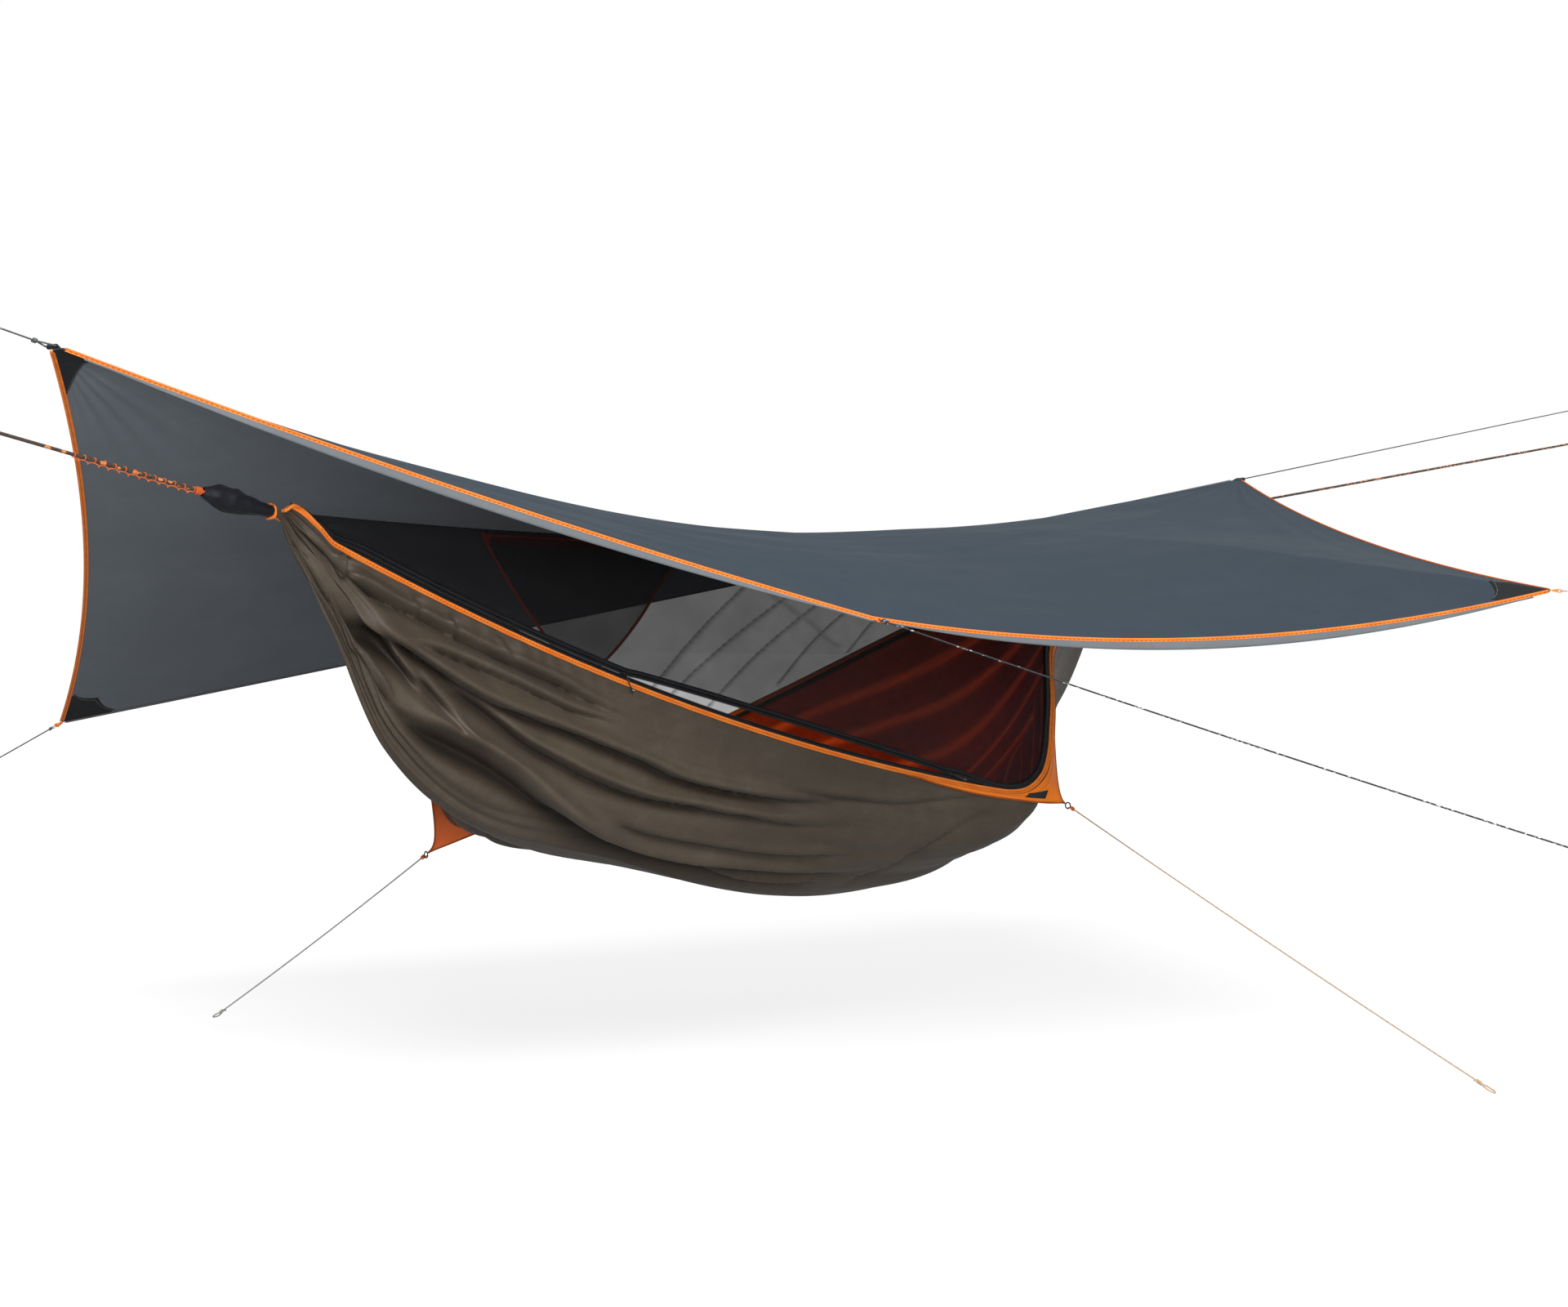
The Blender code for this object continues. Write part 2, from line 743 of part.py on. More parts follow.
def build_corner(name, edge, tie, first, last, x_peak, short_arm):
    """An orange corner that runs out from the edge of the cloth to its tie-out point."""
    tip_blunt = SEAT
    outward = (tie - edge(x_peak)).normalized()
    steps = last - first
    x_start = body_station(first)
    x_end = body_station(last)
    long_first = x_peak - x_start > x_end - x_peak
    rise = x_peak - x_start if long_first else short_arm
    fall = short_arm if long_first else x_end - x_peak

    def cloth(u, v):
        x = body_station(first + round(u * steps))
        rim = edge(x)
        share = panel_share(x, x_peak, rise, fall)
        outside = edge_tangent(x, edge).cross(UP).normalized() * (1 if edge is near_edge else -1)
        inner = rim + outside * (CLOTH + SEAM_GAP)
        narrow = inner + (outside * 0.1 - UP).normalized() * PANEL_ARM
        tip = tie - outward * tip_blunt + (inner - edge(x_peak)) * 0.03
        return mix(inner, mix(narrow, tip, share), v)

    sheet(name, steps, 3, cloth, panel_cloth())


def ring(name, radius, wire, surface, middle, plane_a, plane_b, steps=12):
    """A wire ring in the plane of two directions."""
    points = []
    for i in range(steps):
        turn = 2 * math.pi * i / steps
        points.append(middle + plane_a * (radius * math.cos(turn)) + plane_b * (radius * math.sin(turn)))
    return tube(name, points, wire, surface, cyclic=True, resolution=1)


def knot_profile(length, radius, wraps):
    """A turned outline with one round for each wrap of cord, top to bottom."""
    points = [(0, length), (radius * 0.72, length)]
    for i in range(wraps):
        top = length * (1 - (i + 0.5) / wraps)
        points.append((radius, top))
        if i < wraps - 1:
            points.append((radius * 0.86, length * (1 - (i + 1) / wraps)))
    return points + [(radius * 0.72, 0), (0, 0)]


def knot(name, start, along, surface, length=0.010, radius=0.0042, wraps=2, where=PARTS):
    """A wrapped knot from start, its axis along the given direction."""
    made = turned(name, knot_profile(length, radius, wraps), surface, 8, where)
    turn = along.to_track_quat("Z", "Y").to_matrix().to_4x4()
    made.matrix_world = Matrix.Translation(start) @ turn
    return made


def teardrop(start, along, sideways, length, width, radius, count=11):
    """An eye that leaves start and comes back beside it, its two legs just touching nowhere."""
    points = []
    for turn in spread(0.12, 2 * math.pi - 0.12, count):
        out = length * (1 - math.cos(turn)) / 2
        swing = abs(width / 2 * math.sin(turn) * math.sin(turn / 2) ** 0.6)
        if out < length / 2:
            swing = max(swing, radius * 1.12)
        points.append(start + along * out + sideways * math.copysign(swing, math.sin(turn)))
    return points


def end_loop(name, start, along, radius, surface, size, sideways):
    """The knot and eye in which a cord ends."""
    length, width = size
    knot_length = max(KNOT_LENGTH, 3.2 * radius)
    base = knot(name, start, along, surface, knot_length, radius * 2.3)
    eye = teardrop(start + along * (knot_length - 2.2 * radius), along, sideways, length, width, radius)
    join_to(base, as_mesh(tube(name + "_eye", eye, radius, surface, resolution=1, where=CUTTERS)))
    return base


def straight(start, end, count, sag=0.0):
    """Points along a taut cord, which sags by very little."""
    points = []
    for t in spread(0, 1, count):
        points.append(mix(start, end, t) - UP * (sag * 4 * t * (1 - t)))
    return points


def build_gathered_end(side, label):
    """Band, sleeve, eye of the rope, the rope itself with its daisy chain, and the anchor loop."""
    out = pull_direction(side)
    neck = gather(side)
    lift = out.cross(Vector((0, side, 0)))
    lift = lift if lift.z > 0 else -lift
    sideways = Vector((0, 1, 0))
    band_radius = NECK_RADIUS + BAND_CLEARANCE + BAND_TUBE
    ring("end_band_" + label, band_radius, BAND_TUBE, orange_tape(), neck + out * BAND_AT, lift, sideways, 16)

    mouth = ROPE_RADIUS * 2 + 0.0018
    shape = [
        (0.0, SLEEVE_END_RADIUS), (0.16, SLEEVE_END_RADIUS * 1.01), (0.36, SLEEVE_END_RADIUS * 1.05),
        (0.56, SLEEVE_FULL_RADIUS), (0.78, SLEEVE_FULL_RADIUS * 0.94), (0.92, 0.0132), (1.0, mouth),
    ]
    sleeve_start = BAND_AT + BAND_TUBE + SEAT

    def skin(u, v):
        base = through([(s, Vector((0, 0, r))) for s, r in shape], u).z
        turn = 2 * math.pi * v
        crumple = 0.0009 * math.sin(math.pi * u) * math.sin(3 * turn + 9 * u)
        radius = base + crumple
        reach = sleeve_start + SLEEVE_LENGTH * u
        return neck + out * reach + sideways * (radius * math.cos(turn)) + lift * (radius * math.sin(turn))

    sheet("end_sleeve_" + label, 8, 12, skin, black_cloth(), SLEEVE_WALL, closed=True)

    saddle = NECK_RADIUS + ROPE_RADIUS + SEAT
    knot_start = sleeve_start + SLEEVE_LENGTH + GAP + SLEEVE_WALL
    apart = ROPE_RADIUS + EYE_CLEARANCE
    hug = NECK_RADIUS + ROPE_RADIUS + EYE_CLEARANCE
    leg = [(knot_start + 0.004, apart), (0.135, apart + EYE_CLEARANCE), (0.095, hug * 0.75), (0.05, hug)]
    eye = [neck + out * reach + sideways * offset for reach, offset in leg]
    for turn in spread(0, math.pi, 7):
        eye.append(neck + out * 0.017 + sideways * (saddle * math.cos(turn)) + lift * (saddle * math.sin(turn)))
    eye += [neck + out * reach - sideways * offset for reach, offset in reversed(leg)]
    base = knot("rope_eye_" + label, neck + out * knot_start, out, orange_tape(), 0.013, 0.0075, 3)
    join_to(base, as_mesh(tube("rope_eye_strand_" + label, eye, ROPE_RADIUS, orange_tape(), where=CUTTERS)))

    reach = LEFT_ROPE_REACH if side < 0 else RIGHT_ROPE_REACH
    rope_start = knot_start + 0.013 + GAP
    rope = straight(neck + out * rope_start, neck + out * reach, 9)
    tube("suspension_" + label, rope, ROPE_RADIUS, brown_rope())

    daisy = []
    first = rope_start + 0.004
    steps = 4
    for i in range(DAISY_LOOPS * steps + 1):
        along = first + DAISY_PITCH * i / steps
        hump = math.sin(math.pi * i / steps) ** 2
        high = ROPE_RADIUS + DAISY_CORD + GAP + DAISY_HEIGHT * hump
        daisy.append(neck + out * along - lift * high)
    tube("daisy_chain_" + label, daisy, DAISY_CORD, orange_tape(), resolution=1)
    end_loop("anchor_loop_" + label, neck + out * (reach + GAP), out, ROPE_RADIUS, brown_rope(),
             ANCHOR_LOOP, sideways)


class TarpEdge:
    """One edge of the tarp: a chord bowed inwards and sagging a little."""

    def __init__(self, start, end, bow, sag):
        self.start = start
        self.end = end
        chord = end - start
        inward = UP.cross(chord).normalized()
        middle = (start + end) / 2
        self.inward = inward if inward.dot(-middle) > 0 else -inward
        self.bow = bow
        self.sag = sag

    def point(self, t):
        swell = 4 * t * (1 - t)
        return mix(self.start, self.end, t) + self.inward * (self.bow * swell) - UP * (self.sag * swell)


LEFT_END = TARP_LEFT
RIGHT_END = TARP_RIGHT
BLUNT = Vector((0, RIDGE_WEBBING_WIDTH / 2, 0))
NEAR_SPANS = [
    TarpEdge(LEFT_END - BLUNT, TARP_SIDE, 0.035, 0.012),
    TarpEdge(TARP_SIDE, TARP_NEAR, 0.035, 0.064),
    TarpEdge(TARP_NEAR, RIGHT_END - BLUNT, 0.036, 0.027),
]
FAR_SPANS = [
    TarpEdge(LEFT_END + BLUNT, TARP_FAR, 0.054, 0.0),
    TarpEdge(TARP_FAR, RIGHT_END + BLUNT, 0.055, 0.0),
]
SLOPE_POWER = 1.35


def span_at(spans, x):
    for span in spans:
        if x <= span.end.x:
            return span
    return spans[-1]


def tarp_edge(x, side):
    """The tarp's edge at station x, side -1 near and 1 far."""
    span = span_at(NEAR_SPANS if side < 0 else FAR_SPANS, x)
    t = min(max((x - span.start.x) / (span.end.x - span.start.x), 0.0), 1.0)
    return span.point(t)


def tarp_ridge(x):
    t = (x - LEFT_END.x) / (RIGHT_END.x - LEFT_END.x)
    height = mix(LEFT_END.z, RIGHT_END.z, t) - TARP_RIDGE_SAG * 4 * t * (1 - t)
    return Vector((x, 0, height))


def tarp_point(x, w, lift=0.0):
    """A point of the tarp: w is -1 at the near edge, 0 at the ridge and 1 at the far edge."""
    ridge = tarp_ridge(x)
    rim = tarp_edge(x, -1 if w < 0 else 1)
    share = abs(w)
    fall = share ** SLOPE_POWER
    point = Vector((mix(ridge.x, rim.x, share), rim.y * share, mix(ridge.z, rim.z, fall)))
    return point + tarp_normal(x, w) * lift if lift else point


def tarp_normal(x, w):
    """The direction square to the tarp, upwards."""
    near_w = max(w - 0.02, -1.0)
    far_w = min(w + 0.02, 1.0)
    low_x = max(x - 0.01, LEFT_END.x)
    high_x = min(x + 0.01, RIGHT_END.x)
    across = tarp_point(x, far_w) - tarp_point(x, near_w)
    along = tarp_point(high_x, w) - tarp_point(low_x, w)
    return along.cross(across).normalized()


TARP_SPANS = (
    (LEFT_END.x, TARP_FAR.x, 7),
    (TARP_FAR.x, TARP_SIDE.x, 2),
    (TARP_SIDE.x, TARP_NEAR.x, 8),
    (TARP_NEAR.x, RIGHT_END.x, 7),
)
TARP_STEPS = sum(count for _, _, count in TARP_SPANS)
TARP_ROWS = 20


def tarp_station(i):
    """The i-th station along the tarp's ridge, with one at each corner and side tie-out."""
    for start, end, count in TARP_SPANS:
        if i <= count:
            return mix(start, end, i / count)
        i -= count
    return RIGHT_END.x


def stations_between(low, high):
    """The tarp's stations strictly between two places."""
    every = [tarp_station(i) for i in range(TARP_STEPS + 1)]
    return [x for x in every if low < x < high]


def seam_point(x, side):
    """The tarp's edge as it runs straight from one station to the next."""
    every = [tarp_station(i) for i in range(TARP_STEPS + 1)]
    for low, high in zip(every, every[1:]):
        if x <= high + 0.000001:
            return mix(tarp_edge(low, side), tarp_edge(high, side), (x - low) / (high - low))
    return tarp_edge(x, side)


def binding_point(x, side, out, lift):
    """A point beside the tarp's edge: out is square to the edge in plan, lift is upwards."""
    low = max(x - 0.01, LEFT_END.x)
    high = min(x + 0.01, RIGHT_END.x)
    along = tarp_edge(high, side) - tarp_edge(low, side)
    outward = UP.cross(along).normalized()
    outward = outward if outward.y * side > 0 else -outward
    return seam_point(x, side) + outward * out + UP * lift


CORNER_TRIM = 0.016


def build_tarp():
    """The tarp's cloth, its bound edges, the near hem and the corner patches."""
    def cloth(u, v):
        return tarp_point(tarp_station(round(u * TARP_STEPS)), 2 * v - 1)

    sheet("tarp_canopy", TARP_STEPS, TARP_ROWS, cloth, tarp_cloth())
    outside = BINDING_RADIUS + SEAM_GAP
    for name, side, low, high in (
        ("tarp_binding_near", -1, LEFT_END.x, TARP_NEAR.x),
        ("tarp_binding_right", -1, TARP_NEAR.x, RIGHT_END.x),
        ("tarp_binding_left", 1, LEFT_END.x, TARP_FAR.x),
    ):
        low += CORNER_TRIM
        high -= CORNER_TRIM
        run = [low] + stations_between(low, high) + [high]
        points = [binding_point(x, side, outside, 0) for x in run]
        tube(name, points, BINDING_RADIUS, orange_tape(), resolution=1)

    low = TARP_FAR.x + CORNER_TRIM * 2
    high = RIGHT_END.x - CORNER_TRIM * 3
    over = [low] + stations_between(low, high) + [high]

    def flat_binding(u, v):
        x = over[round(u * (len(over) - 1))]
        return tarp_point(x, 1 - v * 0.010 / tarp_edge(x, 1).y, CLOTH + PATCH_GAP)

    sheet("tarp_binding_far", len(over) - 1, 1, flat_binding, orange_tape(), NET_CLOTH)

    hem_foot = BINDING_RADIUS * 0.9 + SEAT
    low = LEFT_END.x + CORNER_TRIM * 2
    high = TARP_NEAR.x - CORNER_TRIM * 2
    under = [low] + stations_between(low, high) + [high]

    def hem(u, v):
        x = under[round(u * (len(under) - 1))]
        span = span_at(NEAR_SPANS, x)
        t = (x - span.start.x) / (span.end.x - span.start.x)
        depth = HEM_DEPTH * max(4 * t * (1 - t), HEM_LEAST)
        return binding_point(x, -1, outside, -hem_foot - depth * v)

    sheet("tarp_hem_near", len(under) - 1, 1, hem, tarp_cloth(), NET_CLOTH)
    build_patches()


PATCH_REACH = 0.095
PATCH_GAP = 0.0009


def build_patches():
    """The dark patches that stiffen three corners."""
    below = -(CLOTH + PATCH_GAP)
    above = CLOTH + PATCH_GAP + SEAT

    def left(u, v):
        w = 1.96 * v - 0.98
        reach = PATCH_REACH * (0.62 + 0.38 * w * w)
        return tarp_point(LEFT_END.x + 0.004 + reach * u, w, below)

    sheet("tarp_patch_left", 6, 10, left, patch_cloth(), NET_CLOTH)

    def corner(middle, side, lift):
        def place(u, v):
            share = 1 - abs(2 * u - 1)
            x = middle + PATCH_REACH * 0.9 * (2 * u - 1)
            depth = 0.012 + 0.075 * share ** 1.3
            return tarp_point(x, side * (0.995 - depth * v), lift)
        return place

    sheet("tarp_patch_near", 12, 4, corner(TARP_NEAR.x, -1, above), patch_cloth(), NET_CLOTH)
    sheet("tarp_patch_far", 12, 4, corner(TARP_FAR.x, 1, below), patch_cloth(), NET_CLOTH)


def webbing_tab(name, root, along, upward, width, surface, length=TAB_LENGTH, tunnel=TAB_TUNNEL):
    """A folded webbing tab with a tunnel across its outer end; returns the tunnel's middle."""
    curve = bpy.data.curves.new(name, "CURVE")
    curve.dimensions = "2D"
    curve.fill_mode = "BOTH"
    curve.extrude = width / 2
    outer = tunnel + TAB_WALL
    hub = length - outer
    outline = [(0, TAB_WALL), (0, -TAB_WALL)]
    for turn in spread(-math.pi * 0.62, math.pi * 0.62, 13):
        outline.append((hub + outer * math.cos(turn), outer * math.sin(turn)))
    hole = []
    for turn in spread(0, 2 * math.pi * 11 / 12, 12):
        hole.append((hub + tunnel * math.cos(turn), tunnel * math.sin(turn)))
    for points in (outline, hole):
        line = curve.splines.new("POLY")
        line.points.add(len(points) - 1)
        line.use_cyclic_u = True
        for held, (x, y) in zip(line.points, points):
            held.co = (x, y, 0, 1)
    made = add(name, curve, surface)
    home = frame_at(root, along, upward)
    made.matrix_world = home @ Matrix.Rotation(math.radians(90), 4, "X")
    return home @ Vector((hub, 0, 0))


GUYLINE_FAR_EXIT = Vector((-0.762, 1.605, -0.510))
GUYLINE_SIDE_EXIT = Vector((-0.075, -1.826, -0.575))
GUYLINE_NEAR_STAKE = Vector((0.524, -1.336, -1.08))
GUYLINE_FAR_STAKE = Vector((-0.411, 1.267, -1.08))
BEYOND_VIEW = 0.02


def build_tarp_corners():
    """Webbing, rings, knots and cords at the tarp's tie-outs."""
    sideways = Vector((0, 1, 0))
    out = Vector((-math.cos(math.radians(13.3)), 0, math.sin(math.radians(13.3))))
    root = LEFT_END - Vector((SEAT, 0, 0))
    tunnel = webbing_tab("tarp_webbing_left", root, out, UP, RIDGE_WEBBING_WIDTH, patch_cloth(), 0.012)
    half = RIDGE_WEBBING_WIDTH / 2 + CORD_RADIUS + SEAT
    taut = tunnel + out * (TAB_TUNNEL - CORD_RADIUS - SEAT)
    knot_at = tunnel + out * 0.030
    leg = CORD_RADIUS * 1.15
    triangle = [
        knot_at + sideways * leg + out * 0.004, knot_at + sideways * leg - out * 0.001,
        tunnel + out * 0.006 + sideways * half, tunnel + out * 0.002 + sideways * half,
        taut + sideways * (half - 0.002), taut - sideways * (half - 0.002),
        tunnel + out * 0.002 - sideways * half, tunnel + out * 0.006 - sideways * half,
        knot_at - sideways * leg - out * 0.001, knot_at - sideways * leg + out * 0.004,
    ]
    base = knot("ridge_cord_knot_left", knot_at, out, grey_cord(), 0.010, 0.004)
    join_to(base, as_mesh(tube("ridge_cord_bridle", triangle, CORD_RADIUS, grey_cord(), where=CUTTERS)))
    start = knot_at + out * (0.010 + GAP)
    end = start + out * 0.062
    tube("ridge_cord_left", straight(start, end, 5), CORD_RADIUS, grey_cord())
    end_loop("ridge_cord_left_loop", end + out * GAP, out, CORD_RADIUS, grey_cord(), CORD_LOOP, sideways)

    out = Vector((math.cos(math.radians(8.43)), 0, math.sin(math.radians(8.43))))
    root = RIGHT_END + Vector((SEAT, 0, 0))
    tunnel = webbing_tab("tarp_webbing_right", root, out, UP, RIDGE_WEBBING_WIDTH, patch_cloth(), 0.022)
    start = tunnel + out * (TAB_TUNNEL + TAB_WALL + GAP)
    end = Vector((3.546, 0, 0.391)) + out * BEYOND_VIEW
    tube("ridge_cord_right", straight(start, end, 12), CORD_RADIUS, grey_cord())
    end_loop("ridge_cord_right_loop", end + out * GAP, out, CORD_RADIUS, grey_cord(), CORD_LOOP, sideways)

    build_ring_corner("far", TARP_FAR, GUYLINE_FAR_EXIT - TARP_FAR)
    build_ring_corner("near", TARP_NEAR, Vector((0.42, -0.90, -0.05)))


def build_ring_corner(label, corner, pull):
    """An orange tab with a steel ring; the far ring holds a guyline."""
    out = pull.normalized()
    root = corner + out * SEAT
    tunnel = webbing_tab("tarp_tab_" + label, root, out, UP, TAB_WIDTH, orange_tape())
    across = UP.cross(out).normalized()
    ring_plane = out
    made = ring("tarp_ring_" + label, RING_RADIUS, RING_WIRE, steel(), ring_plane * RING_RADIUS, ring_plane, across)
    made.location = tunnel
    if label == "far":
        start = tunnel + out * (2 * RING_RADIUS + RING_WIRE + GAP)
        knot("guyline_knot_far", start, out, grey_cord(), 0.008, 0.0034)
        start = start + out * (0.008 + GAP)
        end = GUYLINE_FAR_EXIT + out * BEYOND_VIEW
        tube("guyline_far", straight(start, end, 6), CORD_RADIUS, grey_cord())
        end_loop("guyline_far_loop", end + out * GAP, out, CORD_RADIUS, grey_cord(), CORD_LOOP, across)


def build_side_tie_out():
    """The loop, knot and guyline at the middle of the tarp's near edge."""
    edge = binding_point(TARP_SIDE.x, -1, BINDING_RADIUS * 2 + SEAM_GAP * 2 + 0.003, 0)
    out = (GUYLINE_SIDE_EXIT - edge).normalized()
    root = edge + out * 0.0006
    tunnel = webbing_tab("tarp_side_tab", root, out, UP, 0.010, orange_tape(), 0.014)
    start = tunnel + out * (TAB_TUNNEL + TAB_WALL + GAP)
    knot("guyline_knot_side", start, out, black_plastic(), 0.012, 0.0046, 4)
    start = start + out * (0.012 + GAP)
    end = GUYLINE_SIDE_EXIT + out * BEYOND_VIEW
    tube("guyline_side", straight(start, end, 9, 0.004), CORD_RADIUS, grey_cord())
    across = UP.cross(out).normalized()
    end_loop("guyline_side_loop", end + out * GAP, out, CORD_RADIUS, grey_cord(), CORD_LOOP, across)


def build_corner_guyline(label, tie, stake):
    """Ring, knot and guyline at one side corner of the hammock."""
    out = (stake - tie).normalized()
    across = UP.cross(out).normalized()
    upward = out.cross(across)
    middle = tie + out * (CORNER_RING_RADIUS + CORNER_RING_WIRE + SEAT)
    ring("corner_ring_" + label, CORNER_RING_RADIUS, CORNER_RING_WIRE, black_plastic(), middle, out, upward)
    start = middle + out * (CORNER_RING_RADIUS + CORNER_RING_WIRE + GAP)
    knot("corner_knot_" + label, start, out, orange_tape(), 0.010, 0.004)
    start = start + out * (0.010 + GAP)
    tube("corner_guyline_" + label, straight(start, stake, 9, 0.004), CORD_RADIUS, tan_cord())
    end_loop("corner_guyline_loop_" + label, stake + out * GAP, out, CORD_RADIUS, tan_cord(), CORD_LOOP, across)


def settle():
    """Move everything so that the left anchor loop bears on the origin."""
    out = pull_direction(-1)
    knot_length = max(KNOT_LENGTH, 3.2 * ROPE_RADIUS)
    reach = LEFT_ROPE_REACH + GAP + knot_length - 2.2 * ROPE_RADIUS + ANCHOR_LOOP[0] - ROPE_RADIUS
    anchor = gather(-1) + out * reach
    bpy.context.view_layer.update()
    for item in bpy.data.objects:
        if item.parent is None:
            item.matrix_world = Matrix.Translation(-anchor) @ item.matrix_world
    bpy.context.view_layer.update()
    print("left anchor, from the middle of the ridgeline", tuple(round(v, 5) for v in anchor))
    print("zip arc's centre", tuple(round(v, 5) for v in ZipTrack.centre - anchor))


def main():
    clear_scene()
    build_body()
    build_zip()
    build_net()
    build_ridgeline()
    middle = BODY_STEPS // 2
    build_corner("corner_panel_near", near_edge, NEAR_TIE, middle + 1, BODY_STEPS - 4, NEAR_CORNER, 0.10)
    build_corner("corner_panel_far", far_edge, FAR_TIE, 5, middle - 1, FAR_CORNER, 0.10)
    build_gathered_end(-1, "left")
    build_gathered_end(1, "right")
    build_tarp()
    build_tarp_corners()
    build_side_tie_out()
    build_corner_guyline("near", NEAR_TIE, GUYLINE_NEAR_STAKE)
    build_corner_guyline("far", FAR_TIE, GUYLINE_FAR_STAKE)
    settle()


main()
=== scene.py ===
"""Looks of a camping hammock that hangs under its rain tarp.

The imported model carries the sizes, the joints and the hard pieces. This script gives the soft
pieces their cloth, folds, seams and cords, dresses every surface, and sets the camera and light.
Shapes are worked out about the middle of the ridgeline, X along the ridge, Y away from the entry
side and Z up, and every mesh is moved to the model's own frame as it is made.
"""

import logging
import math
from dataclasses import dataclass, field
from enum import Enum
from typing import Optional, Sequence

import bmesh
import bpy
import numpy as np
from bpy.types import Material, Node, NodeSocket, NodeTree, Object
from mathutils import Matrix, Vector, noise


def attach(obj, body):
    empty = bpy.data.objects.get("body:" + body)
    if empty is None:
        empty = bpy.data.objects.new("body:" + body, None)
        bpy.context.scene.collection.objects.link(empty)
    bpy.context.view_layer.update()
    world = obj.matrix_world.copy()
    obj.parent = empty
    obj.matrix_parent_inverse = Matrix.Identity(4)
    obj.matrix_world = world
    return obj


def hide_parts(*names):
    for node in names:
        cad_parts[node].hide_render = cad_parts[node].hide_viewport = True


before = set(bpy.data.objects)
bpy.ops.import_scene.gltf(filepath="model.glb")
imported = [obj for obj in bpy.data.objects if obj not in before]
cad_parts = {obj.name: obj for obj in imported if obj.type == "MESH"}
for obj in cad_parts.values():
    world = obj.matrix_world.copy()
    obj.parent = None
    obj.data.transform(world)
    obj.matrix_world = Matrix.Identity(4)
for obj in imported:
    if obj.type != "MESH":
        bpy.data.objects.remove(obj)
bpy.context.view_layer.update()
LOG = logging.getLogger("hammock")
Array = np.ndarray

MIDDLE = np.array((1.90471, 0.0, -0.11575))
UP = np.array((0.0, 0.0, 1.0))
SIDEWAYS = np.array((0.0, 1.0, 0.0))
RIG = "rig"


class Side(Enum):
    """One of two sides of the object."""

    @property
    def label(self) -> str:
        """The word that names in the model end with."""
        return self.name.lower()


class Edge(Side):
    """The two long edges of the hammock's cloth."""

    NEAR = -1
    FAR = 1


class End(Side):
    """The two gathered ends."""

    LEFT = -1
    RIGHT = 1


def unit(vectors: Array) -> Array:
    """Scale vectors to length one along their last axis."""
    return vectors / np.linalg.norm(vectors, axis=-1, keepdims=True)


def mix(low: Array, high: Array, share: Array) -> Array:
    """The value a share of the way from low to high."""
    return low + (high - low) * share


def ease(share: Array) -> Array:
    """A smooth step from 0 to 1."""
    held = np.clip(share, 0.0, 1.0)
    return held * held * (3 - 2 * held)


def through(knots: Array, values: Array, at: Array) -> Array:
    """Read a smooth curve that passes through values set at knots.

    Args:
        knots: Rising places of the values.
        values: One row of numbers for each knot.
        at: Places to read, of any shape.

    Returns:
        The curve's rows, in the shape of at with one more axis.
    """
    knots = np.asarray(knots, float)
    values = np.asarray(values, float)
    at = np.asarray(at, float)
    count = len(knots)
    before = np.maximum(np.arange(count) - 1, 0)
    after = np.minimum(np.arange(count) + 1, count - 1)
    slopes = (values[after] - values[before]) / (knots[after] - knots[before])[:, None]
    i = np.clip(np.searchsorted(knots, at) - 1, 0, count - 2)
    step = (knots[i + 1] - knots[i])[..., None]
    t = np.clip((at - knots[i]) / step[..., 0], 0.0, 1.0)[..., None]
    start = values[i] * (2 * t ** 3 - 3 * t ** 2 + 1) + slopes[i] * step * (t ** 3 - 2 * t ** 2 + t)
    return start + values[i + 1] * (3 * t ** 2 - 2 * t ** 3) + slopes[i + 1] * step * (t ** 3 - t ** 2)


def rising(way: int, angle: float) -> Array:
    """A direction along the ridge, 1 to the right or -1 to the left, that rises by an angle."""
    return np.array((way * math.cos(angle), 0, math.sin(angle)))


def curve(points: Array, x: Array) -> Array:
    """Read the smooth curve through points at these places along X."""
    points = np.asarray(points, float)
    return through(points[:, 0], points, x)


def travelled(path: Array, axis: int = 0) -> Array:
    """Distance gone along a path, or along one axis of a grid of points."""
    steps = np.linalg.norm(np.diff(path, axis=axis), axis=-1)
    zero = np.zeros_like(np.take(steps, [0], axis=axis))
    return np.concatenate((zero, np.cumsum(steps, axis=axis)), axis=axis)


def joined(*parts: Array) -> Array:
    """Join coordinates into points, one point for each place of their common shape."""
    return np.stack(np.broadcast_arrays(*parts), axis=-1)


def speckle(*parts: Array) -> Array:
    """Smooth noise from -1 to 1 at points, given whole or as three coordinates."""
    points = joined(*parts) if len(parts) > 1 else parts[0]
    flat = points.reshape(-1, 3)
    return np.array([noise.noise(Vector(point)) for point in flat]).reshape(points.shape[:-1])


def linear(colour: str) -> tuple:
    """Turn an sRGB hex colour into the linear RGBA that a socket takes."""
    channels = [int(colour[i:i + 2], 16) / 255 for i in (1, 3, 5)]
    return tuple(c / 12.92 if c <= 0.04045 else ((c + 0.055) / 1.055) ** 2.4 for c in channels) + (1.0,)


def node(tree: NodeTree, kind: str, settings: Optional[dict] = None,
         **sockets: object) -> Node:
    """Add a node with its settings, and set or link its inputs.

    Args:
        tree: The node tree to add to.
        kind: The node's type name.
        settings: Attributes of the node itself.
        **sockets: What wire() takes.

    Returns:
        The new node.
    """
    made = tree.nodes.new(kind)
    for key, value in (settings or {}).items():
        setattr(made, key, value)
    wire(made, sockets)
    return made


